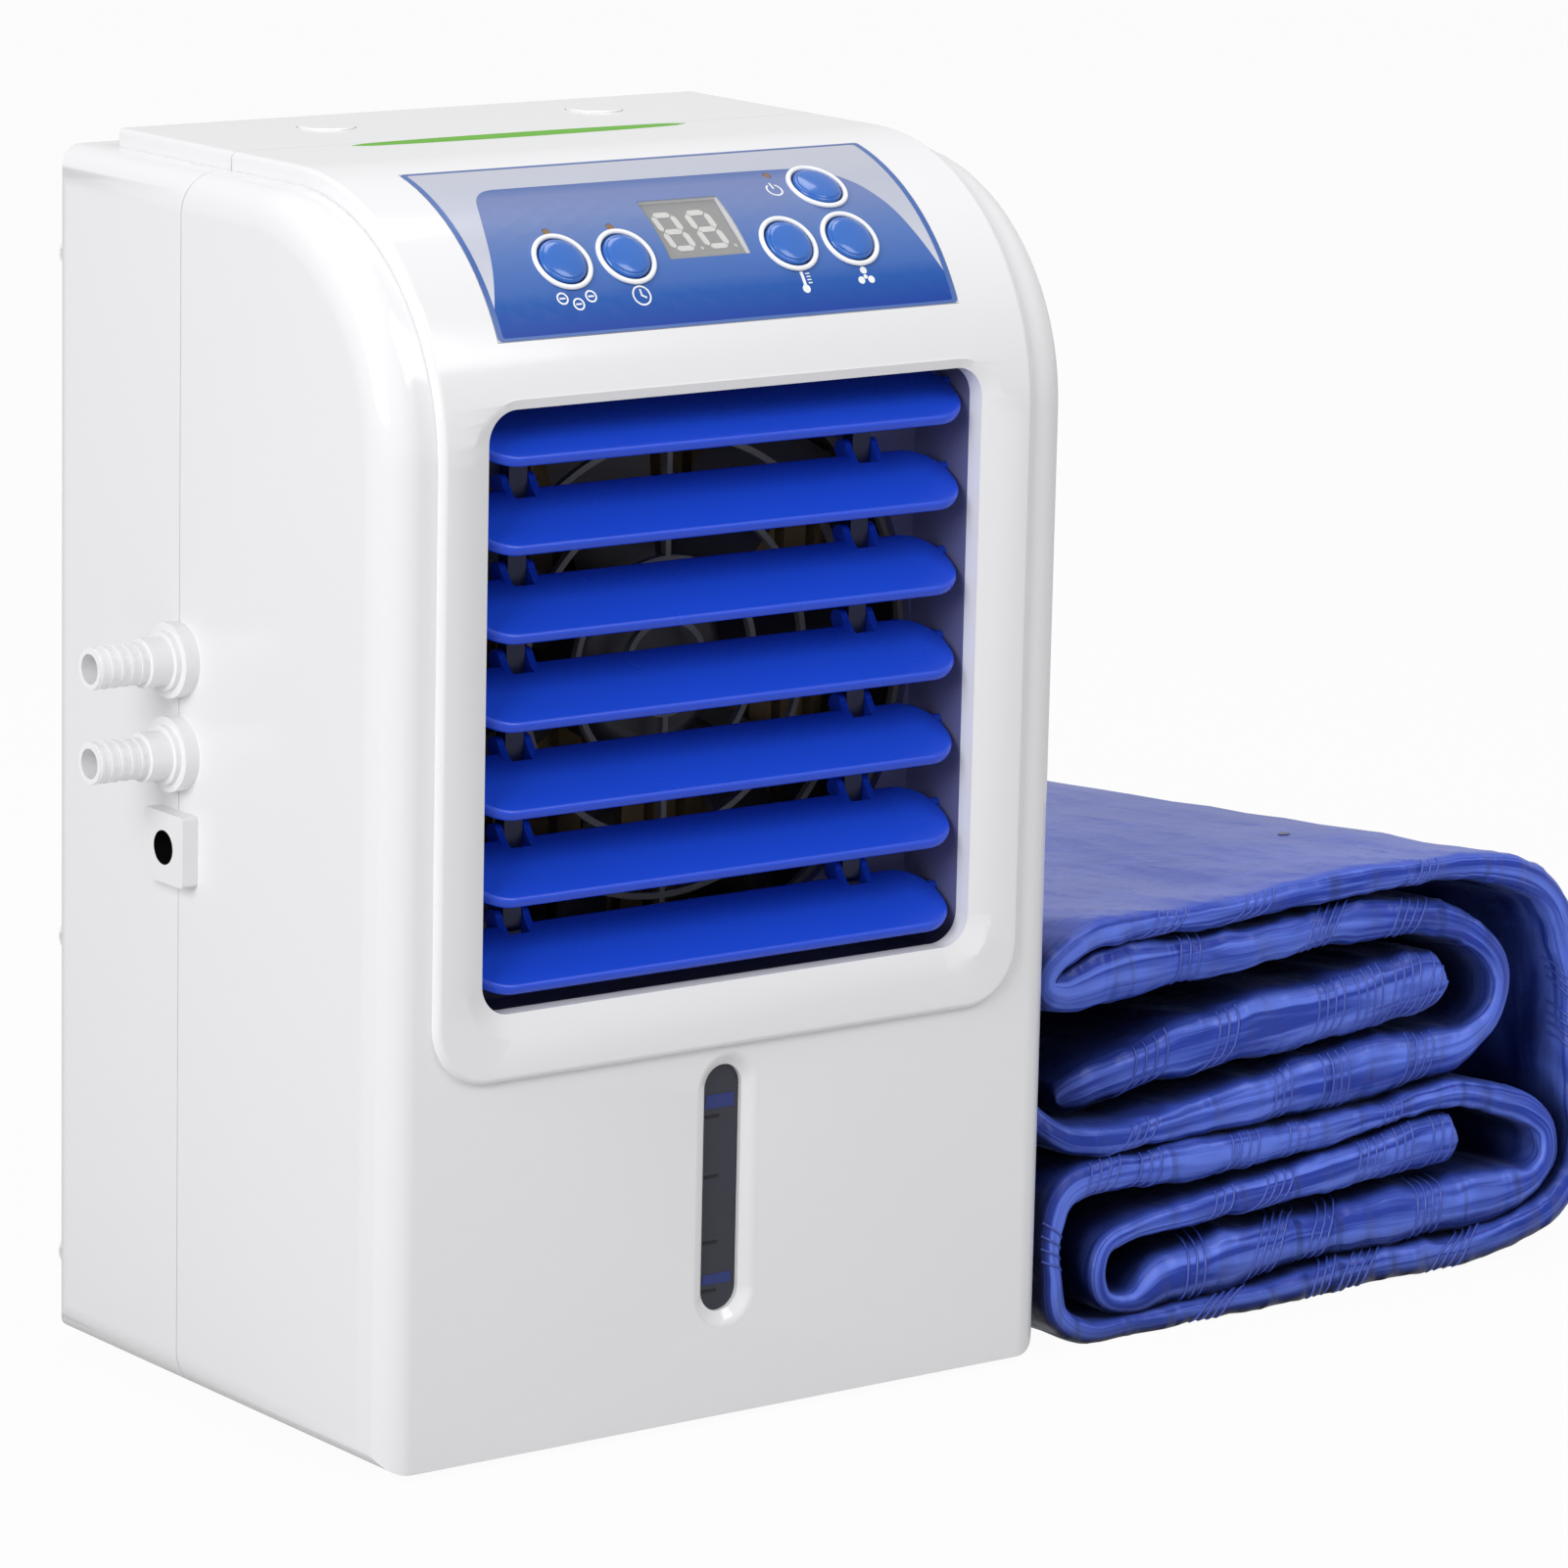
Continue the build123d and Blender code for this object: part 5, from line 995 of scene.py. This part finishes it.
# Weld lines run across the strip in groups; between the groups the channels swell.
weld_groups = [
    [(168, 29.5), (187, 31.5), (221, 34.4), (233, 35.5), (246, 36),
     (185, 15.4), (203, 16.4), (243, 17.8), (160, 13.6),
     (128, 42.6), (144, 42.7), (176, 43.2), (195, 43.6), (229, 46),
     (203, 4.5), (216, 4.9), (165, 3.1), (250, 5.8),
     (299.9, 60), (298.6, 72), (240, 111.9), (180, 109), (150, 108.7),
     (160, 97.5), (205, 99.9), (236, 99.5),
     (190, 56.2), (209, 57.8), (142, 52.4), (240, 59.8),
     (111.3, 25), (110.5, 68)],
    [(150, 69.6), (171, 74.2), (207, 77.5), (220, 78.7), (234, 79.8), (246, 80.5)],
]


def pad_strip(way, groups, seed):
    """Rows of points over one strip, and a way to find a point on its skin."""
    centre = smooth_way(way, pad_step)
    count = len(centre)
    tangents = [
        (centre[min(i + 1, count - 1)].xy - centre[max(i - 1, 0)].xy).normalized()
        for i in range(count)
    ]
    group_rows = [
        min(range(count), key=lambda i: (centre[i].x - x) ** 2 + (centre[i].y - z) ** 2)
        for x, z in groups
    ]

    def skin(row, around):
        """Skin point in mm: row along the strip, around from -1 (back below) by 0 (front) to 1."""
        row = min(max(row, 0.0), count - 1.0)
        low = min(int(row), count - 2)
        share = row - low
        spot = centre[low].lerp(centre[low + 1], share)
        along = tangents[low].lerp(tangents[low + 1], share).normalized()
        up = Vector((-along.y, along.x))
        half = spot.z
        end = min(row, count - 1 - row) * pad_step / min(end_round, half)
        if end < 1:
            half *= max(0.0, 1 - (1 - end) ** 3) ** 0.5
        gaps = [abs(row - group) * pad_step / weld_reach for group in group_rows]
        dip = max(0.0, *(1 - gap ** 2 for gap in gaps))
        swell = fullness - weld_dip * dip * dip
        run = row * pad_step
        level = min(1.0, max(0.0, spot.y / low_below))
        front = pad_low_y - low_forward * (1 - level)
        front += front_wave * noise.noise(Vector((run / front_wave_run, seed, 3.1)))
        front += front_ripple * noise.noise(Vector((run / front_ripple_run, seed, 7.7)))
        front += tuck * max(0.0, 1 - (count - 1 - row) * pad_step / tuck_run)
        depth = pad_high_y - front
        front_round = round_least + round_share * spot.z
        turn = abs(around)
        sign = 1.0 if around >= 0 else -1.0
        if turn < front_turn:
            lean = turn / front_turn * math.pi / 2
            back = front_round * (1 - math.cos(lean) ** front_back_power)
            rise = math.sin(lean) ** front_rise_power
        elif turn > front_turn + side_turn:
            lean = (1 - turn) / back_turn * math.pi / 2
            back = depth - back_round * (1 - math.cos(lean))
            rise = math.sin(lean)
        else:
            share = (turn - front_turn) / side_turn
            back = front_round + (depth - front_round - back_round) * share ** side_power
            rise = 1.0
        y = front + back
        crown = 1.0 + crown_high * math.sin(math.pi * min(1.0, back / crown_back))
        height = half * swell * crown * rise * sign
        pucker = noise.noise(Vector((run / pucker_run, y / pucker_back, seed + sign)))
        fold_place = (run / fold_run + fold_slant * back, back / fold_back, seed + 5 * sign)
        fold = math.exp(-back / fold_fade) * fold_high * noise.noise(Vector(fold_place))
        crease_place = (run / crease_run - back / crease_slant, back / crease_back, seed + 2 * sign)
        crease = 1 - abs(noise.noise(Vector(crease_place))) * crease_sharp
        wrinkle = pucker_high * pucker + fold + crease_high * max(0.0, crease - crease_floor)
        height += sign * rise * wrinkle * min(1.0, half / thin_below)
        place = Vector((spot.x, spot.y)) + up * height
        squeeze = 1 - top_fall * max(0.0, y - pad_low_y) / (pad_high_y - pad_low_y)
        return Vector((place.x, y, max(place.y * squeeze, lowest_skin)))

    return count, group_rows, skin


side_steps, front_steps = 20, 14
pad_around = [
    *(-0.9 + 0.7 * i / side_steps for i in range(side_steps)),
    *(-0.2 + 0.4 * i / front_steps for i in range(front_steps + 1)),
    *(0.2 + 0.7 * (i + 1) / side_steps for i in range(side_steps)),
    0.93, 0.97, 1.0, -0.97, -0.93,
]
end_rows = [0.0, 0.12, 0.35, 0.7, 1.1, 1.6]
cloth_step = 0.004
# Each group of weld lines: the fewest lines, points on a line, where it starts and how far it
# goes round the front, the gap to the next line, and how it bends and leans, in rows.
fewest_lines, line_points, line_start, line_sweep = 3, 15, -0.15, 0.42
line_gap, line_bend, line_lean = 1.75, 30.0, 6.0
mean_slant, slant_change = 0.9, 0.5
pad_build = bmesh.new()
cloth_map = pad_build.loops.layers.uv.new("cloth")
weld_curve = bpy.data.curves.new("weld_lines", "CURVE")
weld_curve.dimensions = "3D"
for seed, (way, groups) in enumerate(zip(pad_ways, weld_groups)):
    count, group_rows, skin = pad_strip(way, groups, seed * 3.7)
    last = count - 1
    row_places = [*end_rows, *range(2, last - 1), *(last - place for place in end_rows[::-1])]
    rows = [
        [pad_build.verts.new(skin(place, a) / 1000) for a in pad_around] for place in row_places
    ]
    turns = len(pad_around)
    for i in range(len(row_places) - 1):
        for k in range(turns):
            n = (k + 1) % turns
            face = pad_build.faces.new((rows[i][k], rows[i + 1][k], rows[i + 1][n], rows[i][n]))
            face.smooth = True
            for loop, (r, c) in zip(face.loops, ((i, k), (i + 1, k), (i + 1, k + 1), (i, k + 1))):
                loop[cloth_map].uv = (row_places[r] * pad_step / 1000, c * cloth_step)
    for row in (rows[0], rows[-1]):
        pad_build.faces.new(row).smooth = True
    for group in group_rows:
        lines = fewest_lines + group % 2
        slant = mean_slant + slant_change * math.sin(group)
        for line in range(lines):
            path = []
            for k in range(line_points):
                a = line_start + line_sweep * k / (line_points - 1)
                shift = slant * (line_bend * (a + 0.1) ** 2 + line_lean * a)
                spot = skin(group + (line - lines / 2) * line_gap + shift, a)
                path.append(Vector((spot.x, spot.y, max(spot.z, lowest_weld))) / 1000)
            spline = weld_curve.splines.new("POLY")
            spline.points.add(len(path) - 1)
            for point, spot in zip(spline.points, path):
                point.co = (*spot, 1.0)
bmesh.ops.remove_doubles(pad_build, verts=pad_build.verts, dist=1e-7)
bmesh.ops.triangulate(pad_build, faces=[f for f in pad_build.faces if len(f.verts) > 4])
bmesh.ops.recalc_face_normals(pad_build, faces=pad_build.faces)
dot_x, dot_y, dot_radius, dot_sink, above_pad = 243.0, -5.0, 1.7, 0.1, 300.0
dot_spot, dot_up, _, _ = BVHTree.FromBMesh(pad_build).ray_cast(
    Vector((dot_x, dot_y, above_pad)) / 1000, Vector((0, 0, -1))
)
pad_mesh = taken(pad_build, "folded_pad")

# Satin coated nylon: a soft broad sheen, fine creases, and a faint weave under the coating.
pad_satin = bpy.data.materials.new("satin_coated_nylon")
pad_satin.use_nodes = True
satin_tree = pad_satin.node_tree
satin_place = object_place(satin_tree)
satin_cloth = add_node(satin_tree, "ShaderNodeUVMap", uv_map="cloth").outputs["UV"]


def stretched(place, scale):
    """Place with its directions scaled apart."""
    return add_node(satin_tree, "ShaderNodeMapping", {"Vector": place, "Scale": scale}).outputs[0]


# Painted highlights: streaks along the cloth are coloured paler, as if they catch the light,
# and the rest stays deep blue. The flat top is stretched smooth, so creases fade out there,
# and its colour is held at one darker tone, a painted shade chosen by which way the face points.
highlight_streaks = noisy(satin_tree, stretched(satin_cloth, (15.0, 120.0, 1.0)), 1.0, 3.0, 0.8)
satin_normal = add_node(satin_tree, "ShaderNodeNewGeometry").outputs["Normal"]
facing_up = add_node(satin_tree, "ShaderNodeSeparateXYZ", {0: satin_normal}).outputs["Z"]
crease_and_top_shade_share = ranged(satin_tree, facing_up, 1.0, 0.12, 0.6, 0.95)
painted_highlight_share = blended(
    satin_tree, crease_and_top_shade_share, 0.25, ranged(satin_tree, highlight_streaks, 0.0, 1.0, 0.4, 0.62), "FLOAT"
)
satin_dye_and_highlight = blended(satin_tree, painted_highlight_share, linear("2840A8"), linear("6580EA"))
# Painted shade: deep in the folds, where ambient occlusion finds them, the colour turns nearly
# black.
fold_occlusion_shade = add_node(satin_tree, "ShaderNodeAmbientOcclusion", {"Distance": 0.03}, samples=8)
painted_fold_shade = ranged(satin_tree, fold_occlusion_shade.outputs["AO"], 0.0, 1.0, 0.25, 0.85)
crease_long = noisy(
    satin_tree, stretched(satin_place, (95.0, 26.0, 34.0)), 1.0, 2.0, 0.5,
    noise_type="RIDGED_MULTIFRACTAL",
)
crease_height = worked_out(satin_tree, "MULTIPLY", crease_long, crease_and_top_shade_share)
crease_small = noisy(satin_tree, satin_place, 130.0, 3.0, 1.2)
creased = bumped(
    satin_tree, crease_small, 0.0006, 0.6, Normal=bumped(satin_tree, crease_height, 0.0055)
)
weave = add_node(
    satin_tree, "ShaderNodeTexWave",
    {"Vector": satin_cloth, "Scale": 400.0, "Distortion": 0.4}, bands_direction="DIAGONAL",
)
satin_looks = {
    "Base Color": blended(satin_tree, painted_fold_shade, linear("060B2E"), satin_dye_and_highlight),
    "Roughness": ranged(satin_tree, noisy(satin_tree, satin_place, 16.0, 4.0), 0.22, 0.34),
    "Normal": bumped(satin_tree, weave.outputs["Fac"], 0.00004, 0.5, Normal=creased),
}
dress(
    satin_tree, satin_looks, Sheen_Weight=0.22, Sheen_Roughness=0.35,
    Sheen_Tint=linear("8FA2F0"), Specular_IOR_Level=0.4, IOR=1.36,
)
folded_pad = place_piece("folded_pad", pad_mesh, pad_satin, "pad")
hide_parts("mattress_pad")

weld_sizes = {"Thickness": 0.00034}
weld_tree, weld_in = new_growth("weld_line_growth", **weld_sizes)
# Weld lines: the same cloth pressed hard, so smoother and paler.
weld_satin = moulded("pressed_weld_line", "4459BA", 0.3, 2.0, 0.01, 0.9)
weld_section = circle(weld_tree, 6, weld_in["Thickness"])
finish_growth(
    weld_tree, tube(weld_tree, weld_in["Geometry"], weld_section, True), weld_satin
)
grown("pad_weld_lines", weld_tree, weld_curve, weld_satin, "pad", "pad_blue", **weld_sizes)

# A small eyelet near the front of the top, drawn as a flat disc painted near black: painted shade
# in its hole.
dot_turn = dot_up.to_track_quat("Z", "Y")
dot_mesh = plate(
    "eyelet_shade_disc", disc(0, 0, dot_radius, 24), 0.3,
    lambda x, y, height: dot_spot + dot_turn @ Vector((x, y, height - dot_sink)) / 1000,
)
eyelet_shade_material = moulded("painted_eyelet_shade", "0B1345", 0.3, 2.0, 0.01, 0.9)
place_piece("pad_eyelet_shade", dot_mesh, eyelet_shade_material, "pad")
